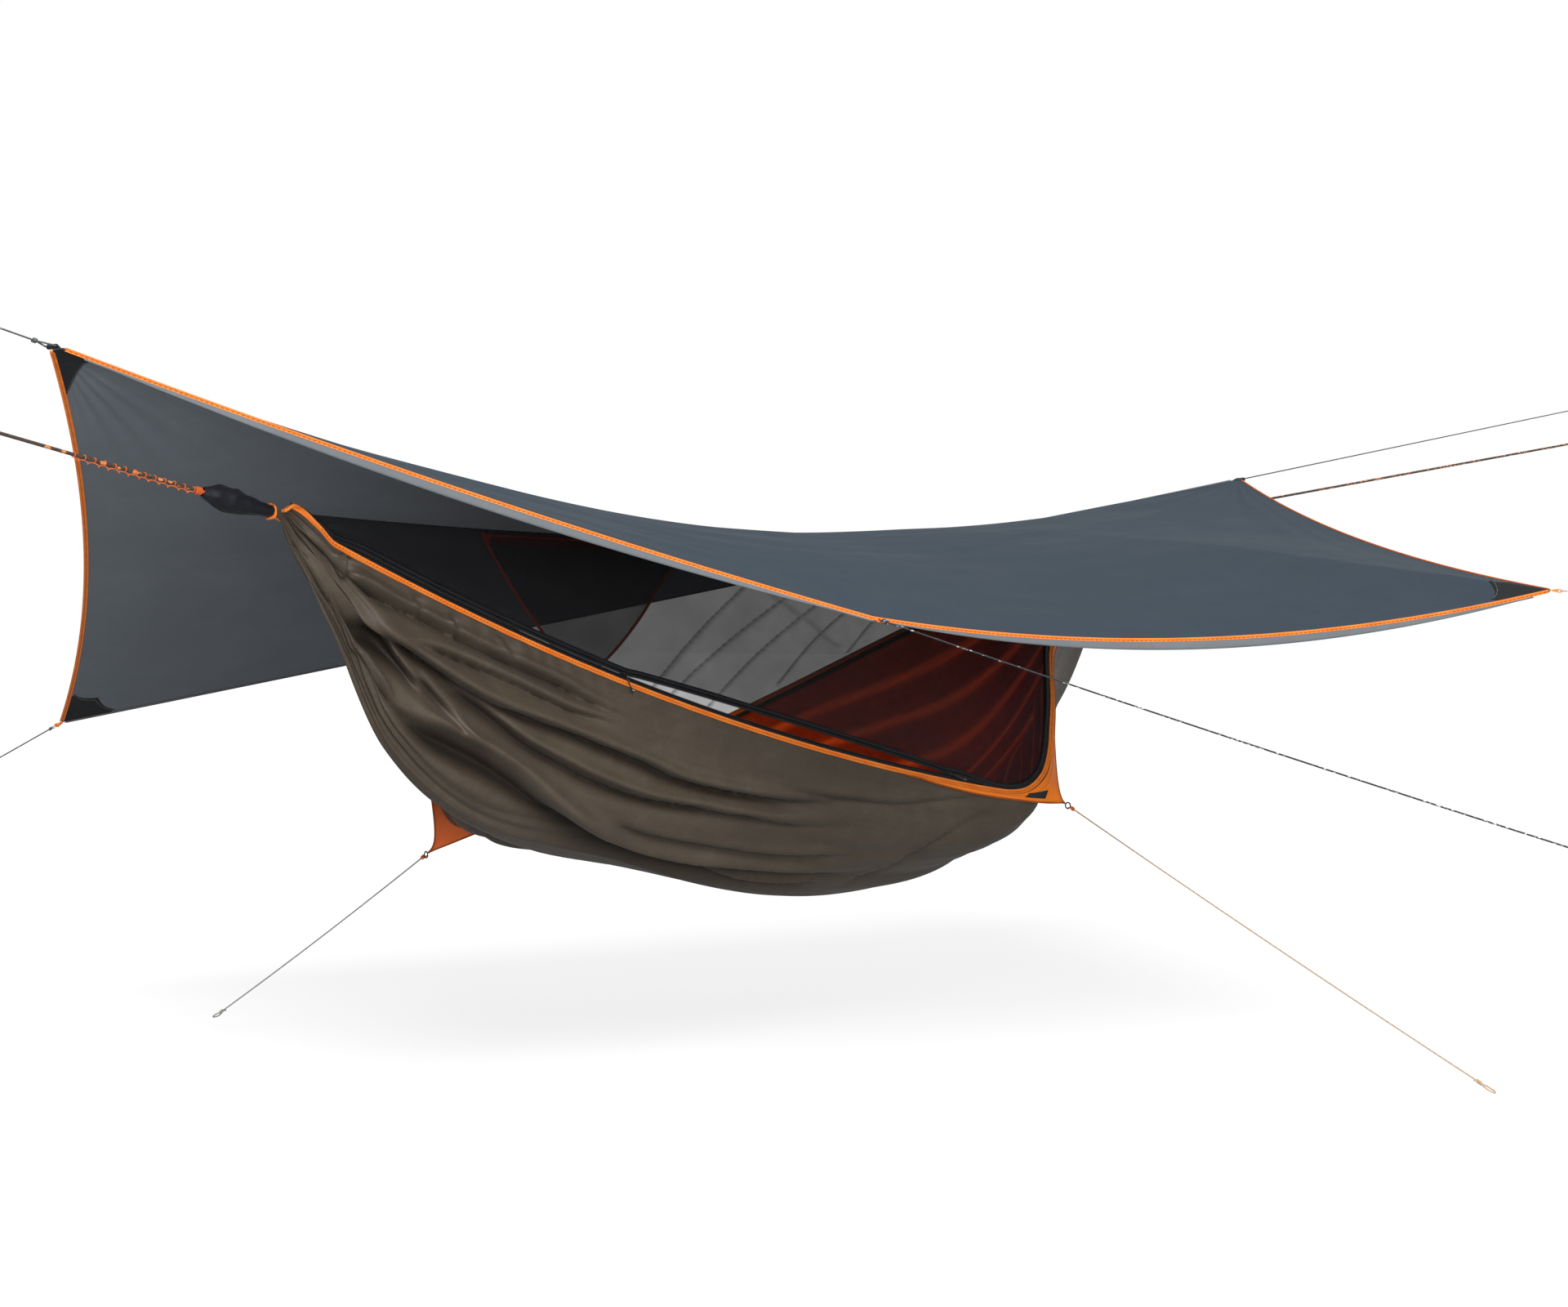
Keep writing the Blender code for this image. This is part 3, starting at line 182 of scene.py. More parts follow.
def wire(made: Node, sockets: dict) -> None:
    """Set a node's inputs to values, or link them from output sockets.

    Args:
        made: The node.
        sockets: Values by the inputs' names, with underscores for spaces, or by _ and a number.
    """
    for key, value in sockets.items():
        name = key.replace("_", " ")
        socket = made.inputs[int(name[1:]) if name[1:].isdigit() else name]
        if isinstance(value, NodeSocket):
            made.id_data.links.new(value, socket)
        else:
            socket.default_value = value


def added(name: str, data: Optional[bpy.types.ID]) -> Object:
    """Add an object with this data to the scene."""
    made = bpy.data.objects.new(name, data)
    bpy.context.scene.collection.objects.link(made)
    return made


@dataclass
class Draft:
    """Points, faces, UVs in metres and finish numbers of one piece while it is put together."""

    points: list = field(default_factory=list)
    faces: list = field(default_factory=list)
    uvs: list = field(default_factory=list)
    finishes: list = field(default_factory=list)

    def grid(self, points: Array, uv: Optional[Array] = None, wrap: bool = False,
             caps: bool = False, finish: int = 0) -> "Draft":
        """Add a grid of quads.

        Args:
            points: An (n, m, 3) array.
            uv: An (n, m, 2) array in metres, m + 1 wide if the grid wraps; measured if left out.
            wrap: Whether the last column joins the first.
            caps: Whether the first and last rows are closed with a face.
            finish: Number of the finish these faces take.

        Returns:
            The draft itself.
        """
        rows, columns = points.shape[:2]
        if uv is None:
            shut = np.concatenate((points, points[:, :1]), axis=1) if wrap else points
            uv = joined(travelled(shut, 0), travelled(shut, 1))
        start = len(self.points)
        self.points.extend((points.reshape(-1, 3) + MIDDLE).tolist())
        across = columns if wrap else columns - 1
        for i in range(rows - 1):
            for j in range(across):
                k = (j + 1) % columns
                self.faces.append((start + i * columns + j, start + i * columns + k,
                                   start + (i + 1) * columns + k, start + (i + 1) * columns + j))
                self.uvs.append((uv[i, j], uv[i, j + 1], uv[i + 1, j + 1], uv[i + 1, j]))
        self.finishes.extend([finish] * (rows - 1) * across)
        if caps:
            for i in (0, rows - 1):
                self.faces.append(tuple(start + i * columns + j for j in range(columns)))
                self.uvs.append(tuple(uv[i, j] for j in range(columns)))
                self.finishes.append(finish)
        return self

    def sweep(self, path: Array, section: Array, upward: Array = UP,
              closed: bool = False, scale: Optional[Array] = None, finish: int = 0) -> "Draft":
        """Carry a closed section along a path.

        Args:
            path: An (n, 3) array.
            section: A (k, 2) array of distances sideways and upward.
            upward: The section's upward direction, one for all or one for each point.
            closed: Whether the path closes on itself.
            scale: How large the section is at each point.
            finish: Number of the finish these faces take.

        Returns:
            The draft itself.
        """
        if closed:
            along = unit(np.roll(path, -1, 0) - np.roll(path, 1, 0))
        else:
            along = unit(np.gradient(path, axis=0))
        side = unit(np.cross(along, np.broadcast_to(upward, path.shape)))
        lift = np.cross(side, along)
        size = np.ones(len(path)) if scale is None else scale
        offsets = section[None] * size[:, None, None]
        points = path[:, None] + side[:, None] * offsets[..., :1] + lift[:, None] * offsets[..., 1:]
        if closed:
            points = np.concatenate((points, points[:1]))
        return self.grid(points, wrap=True, caps=not closed, finish=finish)

    def rope(self, path: Array, radius: float, sides: int = 8, closed: bool = False,
             upward: Array = UP, finish: int = 0) -> "Draft":
        """Add a round tube along a path."""
        return self.sweep(path, circle(radius, sides), upward, closed, finish=finish)

    def build(self, name: str, surfaces: Sequence[Material], solid: bool = True,
              sharp: float = 50.0) -> Object:
        """Make the piece.

        Args:
            name: The piece's name.
            surfaces: Its finishes, in the order of their numbers.
            solid: Whether it is closed, so that doubles merge and faces turn outwards.
            sharp: Angle in degrees past which an edge shades sharp.

        Returns:
            The new object, at the origin.
        """
        mesh = bpy.data.meshes.new(name)
        mesh.from_pydata(self.points, [], self.faces)
        held = mesh.uv_layers.new(name="metres")
        held.data.foreach_set("uv", np.concatenate([np.array(face).ravel() for face in self.uvs]))
        mesh.polygons.foreach_set("material_index", self.finishes)
        for surface in surfaces:
            mesh.materials.append(surface)
        if solid:
            work = bmesh.new()
            work.from_mesh(mesh)
            bmesh.ops.remove_doubles(work, verts=work.verts, dist=0.00002)
            bmesh.ops.recalc_face_normals(work, faces=work.faces)
            work.to_mesh(mesh)
            work.free()
        mesh.shade_smooth()
        mesh.set_sharp_from_angle(angle=math.radians(sharp))
        return added(name, mesh)

    def ride(self, name: str, surface: Material, slot: str, *nodes: str, body: str = RIG) -> Object:
        """Make a closed piece of one finish, and let it ride on its body as fit() does."""
        return fit(self.build(name, [surface]), slot, *nodes, body=body)


def circle(radius: float, sides: int) -> Array:
    """A round section."""
    turn = np.arange(sides) * (2 * math.pi / sides)
    return joined(np.cos(turn), np.sin(turn)) * radius


def folded_tape(width: float, thickness: float, groove: float) -> Array:
    """The section of a tape folded over an edge: rounded, with a shallow groove along each face.

    Args:
        width: The folded tape's width.
        thickness: Its thickness at the fold.
        groove: Half the width of the part between its seams.

    Returns:
        The section's points.
    """
    half = width / 2
    thick = thickness / 2
    upper = [(half, 0), (half * 0.86, thick), (groove, thick), (0, thick * 0.62), (-groove, thick),
             (-half * 0.86, thick), (-half, 0)]
    lower = [(a, -b) for a, b in reversed(upper[1:-1])]
    return np.array(upper + lower)


def thicken(piece: Object, thickness: float, offset: float = 0.0, back: int = 0) -> None:
    """Give a sheet its thickness.

    Args:
        piece: The sheet.
        thickness: Its wall.
        offset: Which way the wall grows, 1 along the faces' normals and -1 against them.
        back: How many finishes further on the back's finish is.
    """
    wall = piece.modifiers.new("thickness", "SOLIDIFY")
    wall.thickness = thickness
    wall.offset = offset
    wall.use_even_offset = False
    wall.material_offset = back
    wall.material_offset_rim = 0


def fit(piece: Object, slot: str, *nodes: str, body: str = RIG) -> Object:
    """Let a piece ride on a body in place of model nodes, and report it.

    Args:
        piece: The piece.
        slot: Not used.
        *nodes: The model's nodes that it stands for.
        body: The body that carries it.

    Returns:
        The piece.
    """
    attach(piece, body)
    if nodes:
        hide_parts(*nodes)
    LOG.info("%s: %d faces, for %s", piece.name, len(piece.data.polygons), ", ".join(nodes) or "no node")
    return piece


def cloth(name: str, points: Array, surface: Material, wall: float, slot: str, *nodes: str,
          sharp: float = 80.0) -> Object:
    """Make a sheet of one finish, and let it ride on the rig.

    Args:
        name: The piece's name.
        points: Its grid of points.
        surface: Its finish.
        wall: Its thickness, or 0 for a net.
        slot: The record's material slot.
        *nodes: The model's nodes that it stands for.
        sharp: Angle in degrees past which an edge shades sharp.

    Returns:
        The piece.
    """
    made = Draft().grid(points).build(name, [surface], solid=False, sharp=sharp)
    if wall:
        thicken(made, wall)
    return fit(made, slot, *nodes)


class Shading:
    """A new material, with short ways to add the nodes that the finishes share."""

    def __init__(self, name: str) -> None:
        """Start a material from the usual shader."""
        self.material = bpy.data.materials.new(name)
        self.material.use_nodes = True
        self.tree = self.material.node_tree

    def add(self, kind: str, output: object, settings: Optional[dict] = None, **sockets: object) -> NodeSocket:
        """Add a shader node and take one of its outputs."""
        return node(self.tree, "ShaderNode" + kind, settings, **sockets).outputs[output]

    def metres(self) -> NodeSocket:
        """Places on the piece's own UV map."""
        return self.add("UVMap", "UV", {"uv_map": "metres"})

    def body(self) -> NodeSocket:
        """Places in the object."""
        return self.add("TexCoord", "Object")

    def share(self, name: str) -> NodeSocket:
        """A share that the piece's points carry."""
        return self.add("Attribute", "Fac", {"attribute_name": name})

    def math(self, operation: str, *values: object) -> NodeSocket:
        """Combine numbers or sockets."""
        return self.add("Math", 0, {"operation": operation}, **{f"_{i}": value for i, value in enumerate(values)})

    def noise(self, place: NodeSocket, scale: float, detail: float = 3.0, roughness: float = 0.6,
              distortion: float = 0.0) -> NodeSocket:
        """Soft noise about a half."""
        return self.add("TexNoise", "Fac", Vector=place, Scale=scale, Detail=detail, Roughness=roughness,
                        Distortion=distortion)

    def wave(self, place: NodeSocket, pitch: float, direction: str, **more: float) -> NodeSocket:
        """Bands of this pitch in metres: the node draws 20 radians to the unit."""
        return self.add("TexWave", "Fac", {"bands_direction": direction, "wave_profile": "SIN"}, Vector=place,
                        Scale=1 / (pitch * 20), **more)

    def spread(self, value: NodeSocket, low: float, high: float, to_low: float = 0.0,
               to_high: float = 1.0) -> NodeSocket:
        """Map a range of a value onto another."""
        return self.add("MapRange", "Result", Value=value, From_Min=low, From_Max=high, To_Min=to_low,
                        To_Max=to_high)

    def blend(self, share: object, first: object, second: object, settings: Optional[dict] = None) -> NodeSocket:
        """Mix two colours, each a socket or a hex colour."""
        first, second = (linear(colour) if isinstance(colour, str) else colour for colour in (first, second))
        return self.add("MixRGB", "Color", settings, Fac=share, Color1=first, Color2=second)

    def bump(self, height: NodeSocket, strength: float, distance: float) -> NodeSocket:
        """A relief of this height in metres."""
        return self.add("Bump", "Normal", Height=height, Strength=strength, Distance=distance)

    def finish(self, **inputs: object) -> Material:
        """Set or link the shader's inputs, and hand over the material."""
        wire(self.tree.nodes["Principled BSDF"], inputs)
        return self.material


@dataclass(frozen=True)
class WovenCloth:
    """Plain-woven coated nylon or polyester, calendered on the loom: a faint grid of thicker yarns,
    soft creases and a low sheen that brightens at grazing angles."""

    name: str
    colour: str
    shade: str
    light: str
    roughness: float = 0.55
    sheen: float = 0.1
    gloss: float = 0.2
    ripstop: float = 0.006
    yarn: float = 0.0022
    crease: float = 0.05
    relief: float = 0.25
    streak: float = 0.0
    # Colour of the painted light that the points call for: shade on the outer cloth, a highlight on the lining; glow
    # makes that highlight glow
    marked: str = ""
    glow: float = 0.0

    def build(self) -> Material:
        """Make the material."""
        work = Shading(self.name)
        metres, body = work.metres(), work.body()
        broad = work.noise(body, 3.1, 4.0, 0.55)
        fine = work.noise(body, 1 / self.crease, 5.0, 0.6, 0.8)
        weave = work.math("MULTIPLY", *(work.wave(metres, self.yarn, axis) for axis in "XY"))
        # The thicker yarns that stop a rip, one in each square
        ribs = work.math("MAXIMUM", *(work.spread(work.wave(metres, self.ripstop, axis), 0.86, 1.0)
                                      for axis in "XY"))
        tone = work.math("MULTIPLY_ADD", fine, 0.5, broad)
        tone = work.math("MULTIPLY_ADD", weave, 0.05, tone)
        tone = work.math("MULTIPLY_ADD", ribs, 0.04, tone)
        colour = self.tint(work, tone)
        more = {}
        if self.marked:
            # Painted light along pleats and folds: a painted shade that darkens the hollows of the outer cloth's
            # folds, and on the lining a painted highlight along the pleat crests that glows a little as though
            # daylight came through
            along = work.share("marked")
            colour = work.blend(along, colour, self.marked)
            more = {"Emission_Color": linear(self.marked),
                    "Emission_Strength": work.math("MULTIPLY", along, self.glow)}
        height = work.math("MULTIPLY_ADD", ribs, 0.05, fine)
        height = work.math("MULTIPLY_ADD", weave, 0.05, height)
        if self.streak:
            # Long fine creases, drawn out along the cloth
            drawn = work.add("VectorMath", "Vector", {"operation": "MULTIPLY"}, _0=body, _1=(1.6, 13.0, 17.0))
            streaks = work.noise(drawn, 1.0, 3.0, 0.55, 0.4)
            height = work.math("MULTIPLY_ADD", streaks, self.streak / self.relief, height)
        rough = work.spread(broad, 0.3, 0.7, self.roughness - 0.06, self.roughness + 0.08)
        return work.finish(Base_Color=colour, Roughness=rough, Normal=work.bump(height, self.relief, 0.004),
                           Sheen_Weight=self.sheen, Sheen_Roughness=0.4, Specular_IOR_Level=self.gloss, **more)

    def tint(self, work: Shading, tone: NodeSocket) -> NodeSocket:
        """Colour a tone from shade through colour to light.

        Args:
            work: The material being made.
            tone: The tone, about 0.5 to 1.1.

        Returns:
            The colour.
        """
        made = node(work.tree, "ShaderNodeValToRGB", Fac=tone)
        ramp = made.color_ramp
        for stop, position, colour in zip(ramp.elements, (0.50, 1.08), (self.shade, self.light)):
            stop.position = position
            stop.color = linear(colour)
        ramp.elements.new(0.78).color = linear(self.colour)
        return made.outputs["Color"]


@dataclass(frozen=True)
class KnittedNet:
    """Fine polyester mosquito net: mostly holes, so what lies behind shows through darkened, and
    darker where the net doubles over on itself."""

    name: str
    colour: str
    cover: float
    doubled: float
    worn: str = "#202023"

    def build(self) -> Material:
        """Make the material."""
        work = Shading(self.name)
        # The real holes are about 1 mm; they are drawn 4 mm apart to show as a faint grain
        cells = work.add("TexVoronoi", "Distance", {"feature": "DISTANCE_TO_EDGE"}, Vector=work.metres(),
                         Scale=250.0, Randomness=0.35)
        cloud = work.noise(work.body(), 9.0)
        cover = work.math("MULTIPLY_ADD", work.share("doubling"), self.doubled, self.cover)
        cover = work.math("ADD", cover, work.spread(cells, 0.0, 0.4, 0.010, -0.005))
        cover = work.add("Math", 0, {"operation": "ADD", "use_clamp": True}, _0=cover,
                         _1=work.spread(cloud, 0.3, 0.7, -0.03, 0.03))
        work.material.surface_render_method = "BLENDED"
        return work.finish(Alpha=cover, Base_Color=work.blend(cloud, self.colour, self.worn), Roughness=0.75,
                           Specular_IOR_Level=0.2)


@dataclass(frozen=True)
class Tape:
    """Woven grosgrain binding or webbing: fine ribs across it and a worn, matt face."""

    name: str
    colour: str
    shade: str
    rib: float = 0.003
    roughness: float = 0.6

    def build(self) -> Material:
        """Make the material."""
        work = Shading(self.name)
        body = work.body()
        ribs = work.wave(body, self.rib, "DIAGONAL", Distortion=0.6, Detail_Scale=2.0)
        worn = work.noise(body, 22.0, 4.0)
        shift = work.spread(work.math("MULTIPLY_ADD", ribs, 0.22, worn), 0.35, 0.95)
        return work.finish(Base_Color=work.blend(shift, self.shade, self.colour),
                           Roughness=work.spread(worn, 0.0, 1.0, self.roughness - 0.08, self.roughness + 0.1),
                           Normal=work.bump(ribs, 0.3, 0.0008), Specular_IOR_Level=0.3)


@dataclass(frozen=True)
class BraidedCord:
    """Braided polyester cord: strands that cross at a slant, with a fleck of another colour
    where the marker strand comes round."""

    name: str
    colour: str
    other: str
    fleck: str
    flecked: float
    strand: float
    slant: float = math.radians(38)

    def build(self) -> Material:
        """Make the material."""
        work = Shading(self.name)
        metres = work.metres()
        braid = work.math("MAXIMUM", *(work.wave(
            work.add("Mapping", "Vector", Vector=metres, Rotation=(0.0, 0.0, way * self.slant)), self.strand, "X")
            for way in (-1, 1)))
        flecks = 1 / self.strand / 5.0
        patch = work.add("Mapping", "Vector", Vector=metres, Rotation=(0.0, 0.0, self.slant),
                         Scale=(flecks, flecks, 1.0))
        marks = work.add("TexVoronoi", "Distance", Vector=patch, Scale=1.0, Randomness=0.6)
        seen = work.spread(marks, self.flecked, self.flecked - 0.08)
        return work.finish(Base_Color=work.blend(seen, work.blend(braid, self.other, self.colour), self.fleck),
                           Normal=work.bump(braid, 0.5, self.strand * 0.4),
                           Roughness=work.spread(braid, 0.0, 1.0, 0.8, 0.6))


@dataclass(frozen=True)
class Hardware:
    """A hard fitting: drawn and polished steel wire, or injection-moulded acetal with its satin skin."""

    name: str
    colour: str
    roughness: float
    metallic: float

    def build(self) -> Material:
        """Make the material."""
        work = Shading(self.name)
        scuff = node(work.tree, "ShaderNodeTexNoise", Vector=work.body(), Scale=240.0, Detail=3.0,
                     Roughness=0.7).outputs
        return work.finish(
            Base_Color=work.blend(0.25, self.colour, scuff["Color"], {"blend_type": "MULTIPLY"}),
            Roughness=work.spread(scuff["Fac"], 0.0, 1.0, self.roughness - 0.08, self.roughness + 0.12),
            Normal=work.bump(scuff["Fac"], 0.1, 0.0002), Metallic=self.metallic)


class Finishes:
    """Every finish on the hammock, each made once."""

    def __init__(self) -> None:
        """Make the materials."""
        # Brown ripstop nylon: dark and matt, its folds pick up a soft grey-brown light; a nearly black painted shade
        # darkens the hollows of its folds
        self.shell = WovenCloth("brown_ripstop_nylon", "#4a4137", "#423a31", "#534a3f", 0.46, 0.06, 0.25,
                                relief=0.12, streak=0.5, marked="#1d1711").build()
        # Orange taffeta lining: plain woven, with a painted highlight along its pleat crests that glows a little, as
        # though daylight fell through the net
        self.lining = WovenCloth("orange_taffeta_lining", "#dc4f1c", "#c24213", "#ee6526", 0.5, relief=0.12,
                                 marked="#f4561e", glow=0.20).build()
        # Silicone-coated tarp cloth, upper side: cool grey, matt at low angles
        self.tarp_top = WovenCloth("grey_coated_tarp_cloth", "#414c56", "#3d4852", "#45505a", 0.6, 0.0, 0.02,
                                   crease=0.09, relief=0.2, streak=0.6).build()
        # Its underside is the uncoated face, drawn warmer and lighter than the top; part of that lightness is
        # painted light, making up for the shade beneath the tarp
        self.tarp_under = WovenCloth("grey_tarp_underside", "#747b82", "#70777e", "#798087", 0.6, 0.0, 0.04,
                                     crease=0.09, relief=0.12).build()
        # Doubled reinforcing cloth at the corners: nearly black and quite matt
        self.patch = WovenCloth("dark_reinforcing_cloth", "#333436", "#2e2f31", "#393a3c", 0.7, 0.0, 0.02).build()
        # Lighter flange cloth that the near binding is sewn to
        self.flange = WovenCloth("pale_grey_hem_cloth", "#6c7175", "#676c70", "#72777b", 0.6, 0.05, 0.12).build()
        # Bright corner cloth: coated nylon, the most saturated colour on the piece
        self.panel = WovenCloth("orange_corner_cloth", "#fb8220", "#f2781a", "#ff8d2c", 0.5).build()
        # The far corner is seen from its other face, which is redder
        self.panel_far = WovenCloth("red_orange_corner_cloth", "#ff7a3e", "#f97034", "#ff864c", 0.5).build()
        # Baggy cover of thin crinkled cloth
        self.sleeve = WovenCloth("black_crinkled_cloth", "#1a1c21", "#15171b", "#23262b", 0.5, 0.04, 0.15,
                                 crease=0.03, relief=0.3).build()
        # Net of the two long walls and of the pocket
        self.net = KnittedNet("black_mosquito_net", "#121214", 0.62, 0.26).build()
        self.pocket = KnittedNet("black_pocket_net", "#2a2019", 0.46, 0.3).build()
        # Binding tape: the orange line round every edge
        self.tape = Tape("orange_binding_tape", "#ff933a", "#fb7f28").build()
        # Narrow seam tape along the corners, a shade darker than the binding
        self.seam = Tape("dark_orange_seam_tape", "#b65a1c", "#9c4b16").build()
        # Piping of the pocket: the orange trim, drawn in a darker red as painted shade for the shade it hangs in
        self.shaded_piping = Tape("red_piping_tape", "#dc4524", "#bd3819").build()
        # Zip tape and webbing: black, matt
        self.zip_tape = Tape("black_zip_tape", "#1a1b1e", "#101113").build()
        self.webbing = Tape("black_webbing", "#202123", "#161718").build()
        # Suspension rope: dark brown braid with orange flecks
        self.rope = BraidedCord("brown_braided_rope", "#4a3a30", "#2f2520", "#d8874a", 0.42, 0.0034).build()
        # Orange cord of the daisy loops and knots
        self.orange_cord = BraidedCord("orange_braided_cord", "#e8702c", "#c2541d", "#f4a868", 0.2, 0.002).build()
        # Tarp guylines: grey braid
        self.grey_cord = BraidedCord("grey_braided_cord", "#55585a", "#3c3f41", "#8c8f90", 0.3, 0.0016).build()
        # Dark side guyline and the zip pulls: black with white tracer flecks
        self.dark_cord = BraidedCord("black_tracer_cord", "#2a2b2d", "#1c1d1f", "#c9cbcc", 0.36, 0.0016).build()
        # Corner guylines: tan with a warm fleck at the near corner, pale grey at the far one
        self.tan_cord = BraidedCord("tan_braided_cord", "#cdb394", "#b3977a", "#dd9158", 0.3, 0.0016).build()
        self.pale_cord = BraidedCord("pale_grey_braided_cord", "#a9aaa4", "#8f908b", "#d4d4cf", 0.3, 0.0016).build()
        # Sewing thread: pale on the dark patches, brown on the orange
        self.pale_thread = Tape("pale_sewing_thread", "#a6a8a6", "#8e908e", 0.001).build()
        self.dark_thread = Tape("brown_sewing_thread", "#a3511c", "#8a4416", 0.001).build()
        # Polished steel rings, and moulded plastic rings, sliders and zip coil
        self.steel = Hardware("polished_steel", "#c9cacb", 0.22, 1.0).build()
        self.plastic = Hardware("black_moulded_acetal", "#1b1b1c", 0.42, 0.0).build()


@dataclass
class BodyForm:
    """The form of the hammock's cloth: its edges, its belly and the sections between them."""

    ridge_length: float = 2.566
    ridge_rise: float = 0.026
    ridge_sag: float = 0.045
    section_spread: float = 1.25
    section_rise: float = 0.9
    neck: float = 0.0062
    wrap: float = math.radians(120)
    neck_blend: float = 0.10
    bunch_length: float = 0.034
    curl: float = 0.012
    closing: float = 0.11
    pleats: int = 4
    pleat_depth: float = 0.024
    pleat_inset: float = 0.26
    least_pleat: float = 0.004
    neck_reach: float = 0.045
    left_pull: float = math.radians(11.7)
    right_pull: float = math.radians(7.06)
    zip_end: tuple = (0.2813, -0.3357, -0.556)
    zip_radius: float = 5.78
    zip_tilt: float = math.radians(28)
    corner_turn: float = 0.09
    near_short_edge: tuple = (
        (0.40, -0.365, -0.566), (0.47, -0.370, -0.522), (0.574, -0.310, -0.408), (0.724, -0.200, -0.267),
        (1.00, -0.085, -0.125),
    )
    far_long_edge: tuple = (
        (-1.02, 0.085, -0.155), (-0.80, 0.205, -0.330), (-0.64, 0.320, -0.500), (-0.54, 0.362, -0.605),
        (-0.40, 0.352, -0.598), (0.133, 0.247, -0.423), (0.607, 0.145, -0.240),
    )
    belly_line: tuple = (
        (-1.15, 0, -0.205), (-1.02, 0, -0.428), (-0.82, 0, -0.574), (-0.50, 0, -0.662), (0.00, 0, -0.772),
        (0.35, 0, -0.771), (0.66, 0, -0.662), (0.90, 0, -0.505), (1.04, 0, -0.338), (1.14, 0, -0.165),
    )

    def __post_init__(self) -> None:
        """Work out the zip's arc and the curves of the edges."""
        self.half = self.ridge_length / 2
        start = self.gather(End.LEFT)
        end = np.array(self.zip_end)
        self.start = start
        self.along = unit((end - start) * (1, 1, 0))
        self.inward = np.cross(UP, self.along)
        chord = end - start
        to_centre = unit(np.cross(np.cross(self.along, chord), chord))
        rise = math.sqrt(self.zip_radius ** 2 - np.dot(chord, chord) / 4)
        self.centre = (start + end) / 2 + to_centre * (rise if to_centre[2] > 0 else -rise)
        lift = -math.cos(self.wrap)
        spread = math.sin(self.wrap)
        lead = [self.arc(end[0] - 0.12), self.arc(end[0])]
        near = self.with_necks(self.near_short_edge, lift, -spread)
        self.near_neck = near[0]
        self.near_curve = lead + near[1:]
        self.far_curve = self.with_necks(self.far_long_edge, lift, spread)
        self.belly_curve = self.with_necks(self.belly_line, -1.0, 0.0)

    def with_necks(self, points: tuple, lift: float, spread: float) -> list:
        """Add the gathered necks to both ends of an edge's points.

        Args:
            points: The edge's own points.
            lift: Height of the edge on the neck, in neck radii.
            spread: How far it lies sideways there, in neck radii.

        Returns:
            The points from neck to neck.
        """
        rim = np.array((0, spread, lift)) * self.neck
        ends = [self.gather(end) + rim for end in End]
        return [ends[0]] + [np.array(point, float) for point in points] + [ends[1]]

    def gather(self, end: End) -> Array:
        """The middle of a gathered end."""
        return np.array((end.value * self.ridge_length / 2, 0, end.value * self.ridge_rise / 2))

    def pull(self, end: End) -> Array:
        """The direction in which the suspension leaves a gathered end."""
        return rising(end.value, self.left_pull if end is End.LEFT else self.right_pull)

    def ridge(self, x: Array) -> Array:
        """Points of the ridgeline, which the net draws down in the middle."""
        share = x / self.half
        height = share * self.ridge_rise / 2 - self.ridge_sag * (1 - share * share)
        return joined(x, np.zeros_like(x), height)

    def arc(self, x: Array) -> Array:
        """Points of the zip's arc.

        Args:
            x: Places along X.

        Returns:
            The points.
        """
        reach = np.asarray((x - self.start[0]) / self.along[0])[..., None]
        side = reach - np.dot(self.centre - self.start, self.along)
        height = self.centre[2] - np.sqrt(self.zip_radius ** 2 - side ** 2)
        return self.start + self.along * reach + UP * (height - self.start[2])

    def up_the_zip(self, x: Array) -> Array:
        """The direction up the zip's tape: towards the arc's centre, leaning inwards."""
        radial = unit(self.centre - self.arc(x))
        return radial * math.cos(self.zip_tilt) + self.inward * math.sin(self.zip_tilt)

    def edge(self, x: Array, side: Edge) -> Array:
        """Points of one long edge.

        Args:
            x: Places along X.
            side: Which long edge.

        Returns:
            The points.
        """
        if side is Edge.FAR:
            return curve(self.far_curve, x)
        late = curve(self.near_curve, x)
        arc = self.arc(np.minimum(x, self.zip_end[0]))
        inset = x + self.half
        early = mix(self.near_neck, arc, ease(inset / self.neck_blend)[..., None])
        early[..., 0] = x
        curl = self.curl * ease((inset - 0.012) / 0.02) * (1 - ease((inset - 0.085) / 0.03))
        early = early + UP * curl[..., None]
        return np.where((x > self.zip_end[0])[..., None], late, early)

    def belly(self, x: Array) -> Array:
        """Points of the line along the belly."""
        return curve(self.belly_curve, x)

    def tangent(self, x: Array, side: Edge) -> Array:
        """The direction of an edge."""
        return unit(self.edge(x + 0.004, side) - self.edge(x - 0.004, side))

    def across(self, x: Array, side: Edge) -> Array:
        """The direction from an edge up its net wall, square to the edge.

        Args:
            x: Places along X.
            side: Which long edge.

        Returns:
            Directions of length one.
        """
        along = self.tangent(x, side)
        to_ridge = self.ridge(x) - self.edge(x, side)
        square = unit(to_ridge - along * np.sum(to_ridge * along, axis=-1, keepdims=True))
        if side is Edge.FAR:
            return square
        last = self.up_the_zip(np.array(self.zip_end[0]))
        share = ease((x - self.zip_end[0]) / self.corner_turn)[..., None]
        late = unit(mix(last, square, share))
        early = self.up_the_zip(np.minimum(x, self.zip_end[0]))
        return np.where((x < self.zip_end[0])[..., None], early, late)

    def bunch(self, end: End, reach: Array, v: Array) -> Array:
        """Points of the gathered cloth where it passes through its band."""
        turn = (2 * v - 1) * self.wrap
        section = joined(np.zeros_like(turn), np.sin(turn), -np.cos(turn)) * self.neck
        return self.gather(end) + self.pull(end) * np.asarray(reach)[..., None] + section

    def stations(self, count: int, margin: float = 0.0) -> Array:
        """Places along the body between margins, closer together at the necks."""
        step = np.linspace(-1, 1, count)
        return (self.half - margin) * (step + self.closing * np.sin(math.pi * step))

